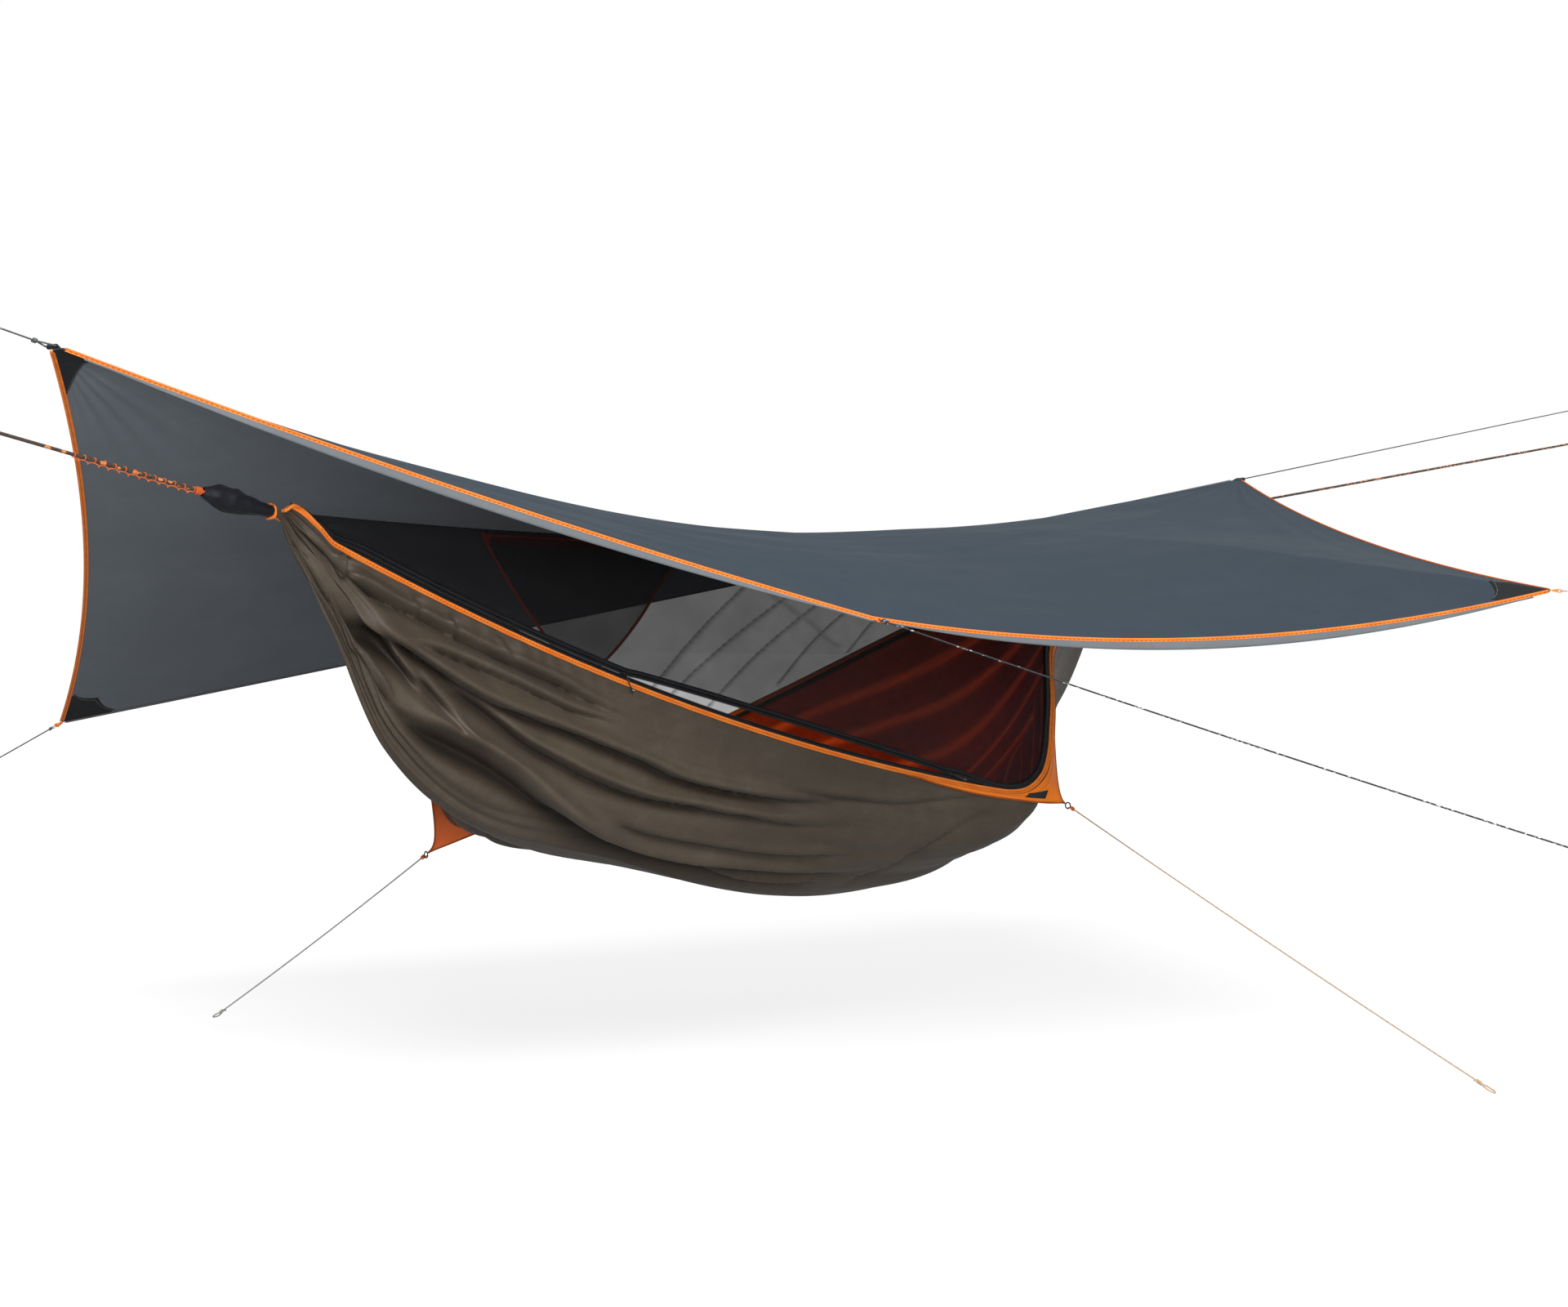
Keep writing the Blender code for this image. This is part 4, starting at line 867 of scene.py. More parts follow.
    def pleat(self, x: Array, v: Array) -> Array:
        """How far the broad pleats near the gathered ends stand out of the cloth.

        Args:
            x: Places along X.
            v: Places around the body, from 0 to 1.

        Returns:
            Distances outwards.
        """
        inset = np.maximum(self.half - np.abs(x), 0)
        inner = inset / self.pleat_inset
        depth = self.pleat_depth * inner * np.exp(1 - inner) + self.least_pleat * inner / (inner + 1)
        at_belly = 0.3 + 0.7 * np.sin(np.abs(1 - 2 * v) * math.pi / 2)
        wander = 0.35 * np.sin(2.2 * x + 0.6)
        return depth * at_belly * np.sin(math.pi * v) * np.cos(2 * math.pi * (self.pleats * v + wander))

    def cloth(self, x: Array, v: Array) -> Array:
        """Points of the cloth: v is 0 at the entry edge, a half at the belly, 1 at the far edge.

        Args:
            x: Places along X.
            v: Places around the body, from 0 to 1.

        Returns:
            The points.
        """
        bottom = self.belly(x)
        rim = np.where((v < 0.5)[..., None], self.edge(x, Edge.NEAR), self.edge(x, Edge.FAR))
        turn = np.abs(1 - 2 * v) * math.pi / 2
        out = np.sin(turn) ** self.section_spread
        rise = (1 - np.cos(turn)) ** self.section_rise
        flat = joined(x, mix(bottom[..., 1], rim[..., 1], out), mix(bottom[..., 2], rim[..., 2], rise))
        outward = joined(np.zeros_like(x), np.sign(v - 0.5) * np.sin(turn), -np.cos(turn))
        body = flat + outward * self.pleat(x, v)[..., None]
        for end in End:
            inset = self.half - end.value * x
            neck = self.bunch(end, np.zeros_like(x), v)
            neck[..., 0] = x
            body = mix(neck, body, ease(inset / self.neck_reach)[..., None])
        return body


@dataclass(frozen=True)
class Fold:
    """A fold drawn into the outer cloth, by the places along and around the body that it passes.

    On the left of its run a fold is steep and stands up in a lip that catches the light; on the
    right it runs out softly.
    """

    route: tuple
    depth: float
    width: float
    lip: float = 0.4

    def relief(self, form: BodyForm, points: Array, x: Array, v: Array) -> Array:
        """How far the fold moves each point of the cloth outwards.

        Args:
            form: The body that the fold lies on.
            points: The smooth cloth's points.
            x: Their places along the body.
            v: Their places around the body.

        Returns:
            Distances in metres, below 0 inwards.
        """
        places = np.array(self.route)
        line = through(np.arange(len(places)), places, np.linspace(0, len(places) - 1, 16 * len(places)))
        path = form.cloth(line[:, 0], line[:, 1])
        run = np.gradient(line, axis=0)
        moved = np.zeros(points.shape[:-1])
        reach = self.width * 3.2
        close = np.all((points > path.min(0) - reach) & (points < path.max(0) + reach), axis=-1)
        held = points[close]
        gaps = np.linalg.norm(held[:, None] - path[None], axis=-1)
        nearest = gaps.argmin(axis=1)
        gap = gaps[np.arange(len(held)), nearest]
        off = joined(x[close], v[close]) - line[nearest]
        turn = run[nearest, 0] * off[:, 1] - run[nearest, 1] * off[:, 0]
        above = np.where(turn < 0, gap, -gap)
        share = nearest / (len(line) - 1)
        window = ease(share / 0.2) * ease((1 - share) / 0.25)
        hollow = np.where(above > 0, above / (0.42 * self.width), above / (1.15 * self.width))
        lip = np.exp(-((above - 1.1 * self.width) / (0.7 * self.width)) ** 2) * self.lip
        moved[close] = self.depth * window * (lip - np.exp(-np.abs(hollow) ** 1.35))
        return moved


# Routes through places along X and shares around the body
FOLDS = (
    Fold(((-1.14, .105), (-1.1, .075), (-1.0, .052), (-.9, .05), (-.73, .05), (-.65, .06), (-.5, .07)),
         0.022, 0.012),
    Fold(((-1.06, .13), (-.94, .095), (-.81, .085), (-.68, .092), (-.55, .08)), 0.018, 0.012),
    Fold(((-1.15, .3), (-1.1, .21), (-1.05, .165), (-.99, .145), (-.84, .145), (-.69, .14), (-.52, .152),
          (-.42, .165), (-.27, .155), (-.12, .13), (.06, .07)), 0.033, 0.017, 0.5),
    Fold(((-1.05, .178), (-.91, .17), (-.83, .178), (-.76, .197), (-.68, .21), (-.59, .225), (-.48, .23),
          (-.35, .215), (-.13, .19), (.04, .15)), 0.029, 0.017, 0.5),
    Fold(((-1.08, .3), (-.99, .29), (-.92, .27), (-.84, .265), (-.77, .28), (-.7, .31), (-.59, .36), (-.47, .40),
          (-.35, .395), (-.19, .365), (0.0, .34), (.14, .31)), 0.052, 0.025, 0.5),
    Fold(((-1.25, .31), (-1.19, .306), (-1.11, .25), (-1.06, .206), (-1.0, .2)), 0.023, 0.013),
    Fold(((-1.15, .31), (-1.08, .20), (-1.02, .197), (-.97, .225)), 0.021, 0.010),
    Fold(((-1.0, .18), (-.92, .213), (-.87, .247)), 0.017, 0.011),
    Fold(((-1.12, .29), (-1.05, .3), (-.98, .275), (-.89, .248), (-.80, .255)), 0.009, 0.006),
    Fold(((-1.24, .15), (-1.16, .113), (-1.04, .06)), 0.015, 0.010),
    Fold(((-1.12, .375), (-1.09, .34), (-1.04, .30)), 0.015, 0.013),
    Fold(((-.56, .30), (-.45, .32), (-.3, .31), (-.1, .28), (.08, .23)), 0.015, 0.018),
    Fold(((-.42, .41), (-.32, .412), (-.16, .42), (-.03, .395), (.08, .355)), 0.018, 0.014),
    Fold(((-.25, .115), (-.06, .1), (.08, .085), (.21, .045), (.30, .015)), 0.010, 0.011),
    Fold(((.10, .38), (.16, .31), (.20, .205), (.26, .12), (.33, .04)), 0.009, 0.014),
    Fold(((-1.14, .10), (-1.148, .05), (-1.15, .006)), 0.021, 0.011, 1.0),
    Fold(((-1.0, .055), (-1.005, .03), (-1.01, .004)), 0.009, 0.006, 0.8),
    Fold(((-.92, .06), (-.93, .035), (-.94, .004)), 0.009, 0.006, 0.8),
    Fold(((-.81, .045), (-.825, .02), (-.84, .003)), 0.008, 0.006, 0.8),
    Fold(((.5, .15), (.65, .17), (.85, .20)), 0.012, 0.016),
    Fold(((.45, .32), (.6, .34), (.8, .37)), 0.014, 0.018),
    Fold(((-.8, .78), (-.5, .76), (-.2, .78)), 0.018, 0.020),
    Fold(((-.8, .64), (-.5, .63), (-.1, .66), (.3, .68)), 0.020, 0.022),
    Fold(((.8, .67), (.55, .70), (.2, .80)), 0.016, 0.020),
)


def mark(piece: Object, name: str, values: Array) -> None:
    """Give each point of a cloth a share, 0 to 1, that its finish reads by name."""
    piece.data.attributes.new(name, "FLOAT", "POINT").data.foreach_set("value", values.ravel())


@dataclass
class Body:
    """The outer cloth with its folds, the lining inside it and the bound edges."""

    form: BodyForm
    finishes: Finishes
    stations: int = 284
    near_rows: int = 106
    far_rows: int = 60
    wall: float = 0.0009
    lining_seam: float = 0.0056
    lining_gap: float = 0.0110
    deepest: float = 0.040
    neck_pleats: int = 17
    neck_pleat: float = 0.0055
    long_crease: float = 0.0045
    small_crease: float = 0.0008
    pucker: float = 0.0035
    pucker_pitch: float = 0.036
    lining_short: float = 0.26
    lining_pleats: int = 14
    lining_pleat: float = 0.020
    lining_crease: float = 0.0024
    piping: float = 0.005
    tape_width: float = 0.0110

    def places(self) -> tuple:
        """Places of the grid along and around the body, closer at the necks and on the near side."""
        x = self.form.stations(self.stations)
        near = np.linspace(0, 0.5, self.near_rows + 1)
        far = np.linspace(0.5, 1, self.far_rows + 1)[1:]
        return np.meshgrid(x, np.concatenate((near, far)), indexing="ij")

    def relief(self, smooth: Array, x: Array, v: Array) -> Array:
        """Folds, pleats and creases of the outer cloth, as distances outwards.

        Args:
            smooth: The smooth cloth's points.
            x: Places along X.
            v: Places around the body, from 0 to 1.

        Returns:
            Distances in metres, below 0 inwards.
        """
        moved = sum(fold.relief(self.form, smooth, x, v) for fold in FOLDS)
        moved = np.where(moved < 0, self.deepest * np.tanh(moved / self.deepest), moved)
        inset = self.form.half - np.abs(x)
        uneven = 0.6 + speckle(x * 4, v * 9, 3)
        pinch = ease(inset / 0.06) * np.exp(-inset / 0.30)
        drift = 0.8 * speckle(x * 2.2, v * 3, 8)
        moved = moved + self.neck_pleat * pinch * uneven * np.cos(2 * math.pi * (self.neck_pleats * v + drift))
        free = ease(inset / 0.12)
        at_edge = ease(np.minimum(v, 1 - v) / 0.05)
        long_creases = speckle(x * 2.6, v * 20, 0)
        small_creases = speckle(x * 7 + v * 9, v * 46, 5)
        moved = moved + free * at_edge * (self.long_crease * long_creases + self.small_crease * small_creases)
        bound = ease(np.minimum(v, 1 - v) / 0.045)
        moved = moved * np.where(x > -0.1, bound, np.maximum(bound, ease((-0.1 - x) / 0.3)))
        gathered = np.exp(-((x + 0.76) / 0.17) ** 2) * np.exp(-v / 0.030)
        puckers = np.cos(2 * math.pi * x / self.pucker_pitch + 3 * speckle(x * 12, v, v))
        return moved + self.pucker * gathered * puckers * ease(v / 0.006)

    def build(self) -> None:
        """Make the outer cloth and the lining from one grid, and the edges."""
        x, v = self.places()
        smooth = self.form.cloth(x, v)
        normal = unit(np.cross(np.gradient(smooth, axis=0), np.gradient(smooth, axis=1)))
        if normal[self.stations // 2, self.near_rows, 2] > 0:
            normal = -normal
        relief = self.relief(smooth, x, v)
        folded = smooth + normal * relief[..., None]
        ends = []
        for end in End:
            reach = np.linspace(0, self.form.bunch_length, 5)[1:]
            held = self.form.bunch(end, reach[:, None], v[:1].repeat(len(reach), 0))
            ends.append(held[::-1] if end is End.LEFT else held)
        points = np.concatenate((ends[0], folded, ends[1]))
        shell = cloth("outer_cloth", points, self.finishes.shell, self.wall, "brown_ripstop", "hammock_shell")
        bare = np.zeros((4, v.shape[1]))
        # Painted shade: the finish darkens the outer cloth where its folds sink in, the deeper the darker
        mark(shell, "marked", np.concatenate((bare, 0.95 * ease((-relief - 0.002) / 0.030), bare)))
        self.face(shell, outward=True)
        self.lining(x, v, smooth, normal, relief)
        for side in Edge:
            self.bound_edge(side)

    def lining(self, x: Array, v: Array, smooth: Array, normal: Array,
               relief: Array) -> None:
        """The lining, with pleats that fan out from the gathered ends.

        Args:
            x: Places along X.
            v: Places around the body, from 0 to 1.
            smooth: The smooth cloth's points.
            normal: Its directions outwards.
            relief: The outer cloth's folds.
        """
        rows = (v[0] > 0.008) & (v[0] < 0.992)
        kept = np.abs(x[:, 0]) < self.form.half - self.lining_short
        pick = np.ix_(kept, rows)
        x, v = x[pick], v[pick]
        inset = self.form.half - np.abs(x)
        clear = np.minimum(5 * np.sin(math.pi * v), 1)
        phase = self.lining_pleats * v + 0.7 * speckle(x * 2, v * 4, 11)
        turn = phase - np.floor(phase)
        crest = np.where(turn < 0.84, turn / 0.84, (1 - turn) / 0.16)
        depth = self.lining_pleat * inset / 0.42 * np.exp(1 - inset / 0.42) * clear
        creases = self.lining_crease * speckle(x * 6, v * 30, 2) * clear
        # Towards the ends the pleats are too tight for a wide gap
        wide = ease((inset - 0.25) / 0.40)
        inward = mix(self.lining_seam, mix(0.0042, self.lining_gap, wide), clear)
        inward = inward + (depth * crest + np.abs(creases)) * wide - np.minimum(relief[pick], 0)
        points = smooth[pick] - normal[pick] * inward[..., None]
        lining = cloth("lining_cloth", points, self.finishes.lining, self.wall, "orange_lining", "hammock_liner")
        # Painted highlight: a bright line along each pleat's crest, which the finish also makes glow
        line = np.exp(-((turn - 0.86) / 0.10) ** 2) * clear * ease((inset - 0.1) / 0.2)
        mark(lining, "marked", line)
        self.face(lining, outward=False)

    def face(self, piece: Object, outward: bool) -> None:
        """Turn a cloth's faces away from the ridgeline or towards it.

        Args:
            piece: The cloth.
            outward: Whether its faces look away.
        """
        mesh = piece.data
        middle = len(mesh.polygons) // 2
        low = mesh.polygons[middle]
        ridge = Vector((low.center.x, MIDDLE[1], MIDDLE[2]))
        away = low.normal.dot(low.center - ridge) > 0
        if away != outward:
            mesh.flip_normals()

    def bound_edge(self, side: Edge) -> None:
        """The tape that binds one edge of the cloth, with its stitch line.

        Args:
            side: Which long edge.
        """
        x = self.form.stations(260, 0.012)
        neck = 1 - ease((self.form.half - np.abs(x)) / self.form.neck_blend)
        lean = mix(self.form.across(x, side), SIDEWAYS * side.value, neck[:, None])
        lift = unit(lean) * (self.piping - 0.0002 + 0.001 * neck)[:, None]
        path = self.form.edge(x, side) + lift
        ripple = 0.0009 * speckle(x * 30, 0, side.value)
        path = path + SIDEWAYS * ripple[:, None]
        section = folded_tape(self.tape_width, 0.0052, 0.0011)[:, ::-1]
        Draft().sweep(path, section, unit(lean)).ride("edge_tape_" + side.label, self.finishes.tape, "orange_tape",
                                                      "edge_piping_" + side.label)
        out = unit(np.cross(np.gradient(path, axis=0), lean)) * side.value
        run = slice(12, -12)
        Stitching("edge_stitches_" + side.label, self.finishes.dark_thread).along(
            path[run] - out[run] * 0.0027, -out[run], "orange_tape")


@dataclass
class Stitching:
    """Stitches, teeth or loops set along a path by Geometry Nodes."""

    name: str
    surface: Material
    pitch: float = 0.0075
    length: float = 0.0048
    width: float = 0.0011
    sides: int = 6

    def shape(self) -> Object:
        """One stitch: a short rounded rod that runs along X."""
        mesh = bpy.data.meshes.new(self.name + "_shape")
        solid = bmesh.new()
        bmesh.ops.create_uvsphere(solid, u_segments=self.sides, v_segments=4, radius=0.5)
        turn = Matrix.Rotation(math.radians(90), 4, "Y")
        size = Matrix.Diagonal((self.length, self.width, self.width, 1.0))
        bmesh.ops.transform(solid, matrix=size @ turn, verts=solid.verts)
        solid.to_mesh(mesh)
        solid.free()
        mesh.shade_smooth()
        return added(self.name + "_shape", mesh)

    @staticmethod
    def tree() -> NodeTree:
        """The node tree that repeats a shape along a path, made once."""
        made = bpy.data.node_groups.get("repeat_along_path")
        if made:
            return made
        made = bpy.data.node_groups.new("repeat_along_path", "GeometryNodeTree")
        for name, kind in (("Path", "Geometry"), ("Pitch", "Float"), ("Shape", "Object"), ("Finish", "Material")):
            made.interface.new_socket(name, in_out="INPUT", socket_type="NodeSocket" + kind)
        made.interface.new_socket("Result", in_out="OUTPUT", socket_type="NodeSocketGeometry")

        def step(kind: str, output: str, settings: Optional[dict] = None, **sockets: object) -> NodeSocket:
            """Add a geometry or function node and take one of its outputs."""
            return node(made, kind, settings, **sockets).outputs[output]

        given = node(made, "NodeGroupInput").outputs
        line = step("GeometryNodeMeshToCurve", "Curve", Mesh=given["Path"])
        spaced = step("GeometryNodeResampleCurve", "Curve", {"mode": "LENGTH"}, Curve=line, Length=given["Pitch"])
        shape = step("GeometryNodeObjectInfo", "Geometry", {"transform_space": "ORIGINAL"}, Object=given["Shape"])
        upward = step("GeometryNodeInputNamedAttribute", "Attribute", {"data_type": "FLOAT_VECTOR"}, Name="upward")
        along = step("GeometryNodeInputTangent", "Tangent")
        turned = step("FunctionNodeAlignRotationToVector", "Rotation", {"axis": "X"}, Vector=along)
        turned = step("FunctionNodeAlignRotationToVector", "Rotation", {"axis": "Z", "pivot_axis": "X"},
                      Rotation=turned, Vector=upward)
        copies = step("GeometryNodeInstanceOnPoints", "Instances", Points=spaced, Instance=shape, Rotation=turned)
        whole = step("GeometryNodeRealizeInstances", "Geometry", Geometry=copies)
        dressed = step("GeometryNodeSetMaterial", "Geometry", Geometry=whole, Material=given["Finish"])
        node(made, "NodeGroupOutput", Result=dressed)
        return made

    def repeated(self, paths: Sequence[tuple]) -> Object:
        """Repeat the shape along paths.

        Args:
            paths: Pairs of an (n, 3) path and its (n, 3) upward directions.

        Returns:
            One object with a plain mesh.
        """
        mesh = bpy.data.meshes.new(self.name + "_path")
        points = np.concatenate([path for path, _ in paths]) + MIDDLE
        lifts = np.concatenate([np.broadcast_to(lift, path.shape) for path, lift in paths])
        links = []
        start = 0
        for path, _ in paths:
            links += [(start + i, start + i + 1) for i in range(len(path) - 1)]
            start += len(path)
        mesh.from_pydata(points.tolist(), links, [])
        mesh.attributes.new("upward", "FLOAT_VECTOR", "POINT").data.foreach_set("vector", lifts.ravel())
        guide = added(self.name + "_path", mesh)
        shape = self.shape()
        work = guide.modifiers.new("repeat", "NODES")
        work.node_group = self.tree()
        sockets = {item.name: item.identifier for item in self.tree().interface.items_tree
                   if item.item_type == "SOCKET" and item.in_out == "INPUT"}
        work[sockets["Pitch"]] = self.pitch
        work[sockets["Shape"]] = shape
        work[sockets["Finish"]] = self.surface
        graph = bpy.context.evaluated_depsgraph_get()
        graph.update()
        result = bpy.data.meshes.new_from_object(guide.evaluated_get(graph))
        result.name = self.name
        guide.modifiers.remove(work)
        for spent in (guide, shape):
            bpy.data.objects.remove(spent, do_unlink=True)
        result.materials.clear()
        result.materials.append(self.surface)
        result.polygons.foreach_set("material_index", [0] * len(result.polygons))
        return added(self.name, result)

    def along(self, path: Array, upward: Array, slot: str) -> Object:
        """Sew along one path, and let the stitches ride on the rig."""
        return fit(self.repeated([(path, upward)]), slot)


@dataclass
class EntryZip:
    """The zip along the entry edge: two tapes, their coil, the rolled hem of the net and the sliders."""

    form: BodyForm
    finishes: Finishes
    foot: float = 0.0121
    tape: float = 0.008
    gap: float = 0.003
    opening: float = 0.024
    left_slider: float = -0.575
    right_slider: float = 0.205
    slider: float = 0.013
    hem: float = 0.0046
    crown: tuple = ((-0.0034, 0.002), (-0.003, 0.0046), (0, 0.0058), (0.003, 0.0046), (0.0034, 0.002))
    plate: tuple = (0.0125, 0.0118)
    post: tuple = (0.003, 0.0012)
    plate_gap: float = 0.0017
    pull_cord: float = 0.0013
    pull_knot: float = 0.0062

    def parted(self, x: Array) -> Array:
        """How far the upper tape stands off between the two sliders.

        Args:
            x: Places along X.

        Returns:
            Distances in metres.
        """
        margin = self.slider / (self.right_slider - self.left_slider)
        share = (x - self.left_slider) / (self.right_slider - self.left_slider)
        share = np.clip((share - margin) / (1 - 2 * margin), 0, 1)
        return self.opening * np.sin(math.pi * share) ** 0.7

    def point(self, x: Array, height: Array) -> Array:
        """Points up the tape from the edge of the cloth."""
        close = (0.3 + 0.7 * ease((x + self.form.half - 0.04) / 0.14)) * (1 - 0.42 * ease((x - 0.22) / 0.12))
        return self.form.edge(x, Edge.NEAR) + self.form.across(x, Edge.NEAR) * (close * height)[..., None]

    def net_foot(self, x: Array) -> Array:
        """Height of the net's lower edge above the edge of the cloth."""
        return self.foot + 2 * self.tape + self.gap + self.parted(x) + 0.0008

    def build(self) -> None:
        """Make the tapes, the coil and the hem."""
        x = np.linspace(-self.form.half + 0.05, self.form.half - 0.09, 300)
        lower = self.foot
        upper = self.foot + self.tape + self.gap + self.parted(x)
        for name, low, first in (("lower", np.full_like(x, lower), -0.25), ("upper", upper, 0.0)):
            rows = [self.point(x, low + self.tape * share) for share in (first, 0.5, 1.0)]
            cloth("zip_tape_cloth_" + name, np.stack(rows, axis=1), self.finishes.zip_tape, 0.0011,
                  "black_zip_tape", "zip_tape_" + name, sharp=50.0)
        coil = Stitching("zip_coil", self.finishes.plastic, pitch=0.0038, length=0.0022, width=0.0032)
        lift = self.form.across(x, Edge.NEAR)
        front = unit(np.cross(self.form.tangent(x, Edge.NEAR), lift))
        teeth = [(self.point(x, low + self.tape * side), front) for low, side in
                 ((np.full_like(x, lower), 1.06), (upper, -0.06))]
        fit(coil.repeated(teeth), "black_plastic")
        lumps = 1 + 0.22 * speckle(x * 9, 0, 0)
        hem = self.point(x, self.net_foot(x) + self.hem * 0.6)
        Draft().sweep(hem, circle(self.hem, 10) * (0.75, 1.0), lift, scale=lumps).ride(
            "net_hem_roll", self.finishes.zip_tape, "black_zip_tape")
        self.pull("left", self.left_slider, math.radians(62), "left_slider")
        self.pull("right", self.right_slider, math.radians(14), "right_slider")

    def pull(self, label: str, x: float, hang: float, body: str) -> None:
        """A slider's two plates, its crown and tab, and the knotted pull cord with tracer flecks.

        Args:
            label: Which slider.
            x: Its place along the body.
            hang: How steeply the tab hangs.
            body: The body that it rides on.
        """
        at = np.array(x)
        lift = self.form.up_the_zip(at)
        teeth = self.form.arc(at) + lift * (self.foot + self.tape + self.gap / 2)
        radial = unit(self.form.centre - self.form.arc(at))
        along = np.cross(self.form.inward, radial)
        front = np.cross(along, lift)
        front = front if front[1] < 0 else -front
        frame_of = np.array((along, -front, lift))
        draft = Draft()

        def placed(points: Sequence) -> Array:
            """Points given along the zip, inwards and up the tape from the slider's middle."""
            return teeth + np.array(points, float) @ frame_of

        oval = circle(0.5, 16)
        gap = self.plate_gap
        for depth in (-gap, gap):
            draft.sweep(placed([(0, depth - 0.0005, 0), (0, depth + 0.0005, 0)]), oval * self.plate, lift)
        draft.sweep(placed([(0, -gap, 0), (0, gap, 0)]), oval * self.post, lift)
        draft.rope(placed([(across, -height, 0) for across, height in self.crown]), 0.0009, 6, upward=lift)
        down = np.array((math.cos(hang), 0, -math.sin(hang)))
        start = np.array((0, -0.0050, 0))
        tab = placed([start + down * reach for reach in (-0.001, 0.0125)])
        draft.sweep(tab, np.array(((-1, -.5), (1, -.5), (1, .5), (-1, .5))) * (0.0021, 0.0014), -front)
        slider = draft.build("zip_slider_body_" + label, [self.finishes.plastic], sharp=35)
        edge = slider.modifiers.new("rounding", "BEVEL")
        edge.width = 0.0002
        edge.segments = 1
        fit(slider, "black_plastic", "zip_slider_" + label, body=body)
        cord = placed([start + down * reach + np.array((0, -0.0014 - side * 0.0008, 0)) for reach, side in
                       ((0.010, 0), (0.018, 1), (0.026, 0), (0.034, 1))])
        draft = Draft().rope(cord, self.pull_cord, 8, upward=-front)
        knot = wrapped(cord[-1], unit(cord[-1] - cord[-2]), 0.0011, self.pull_knot, 3)
        draft.rope(knot, 0.0011, 8).ride("zip_pull_cord_" + label, self.finishes.dark_cord, "black_plastic",
                                         body=body)


def wrapped(start: Array, along: Array, radius: float, length: float, wraps: int,
            steps: int = 14) -> Array:
    """The path of a cord that is wrapped round its own standing part.

    Args:
        start: Where the knot begins on the standing part.
        along: Its axis.
        radius: The cord's radius.
        length: The knot's length.
        wraps: How many turns it has.
        steps: Points in each turn.

    Returns:
        The path, up the middle, out and back down round it.
    """
    side = unit(np.cross(along, UP if abs(along[2]) < 0.9 else SIDEWAYS))
    other = np.cross(along, side)
    turn = np.linspace(0, 2 * math.pi * wraps, steps * wraps + 1)
    ring = (side[None] * np.cos(turn)[:, None] + other[None] * np.sin(turn)[:, None]) * radius * 2.0
    climb = np.linspace(length - radius, radius, len(turn))
    coil = start + ring + along * climb[:, None]
    middle = start + along * np.linspace(0, length, 5)[:, None]
    tail = coil[-1] + unit(along * -0.3 + side) * np.linspace(radius, radius * 5, 3)[:, None]
    return np.concatenate((middle[:-1], middle[-1:] + side * radius * 0.9, coil, tail))


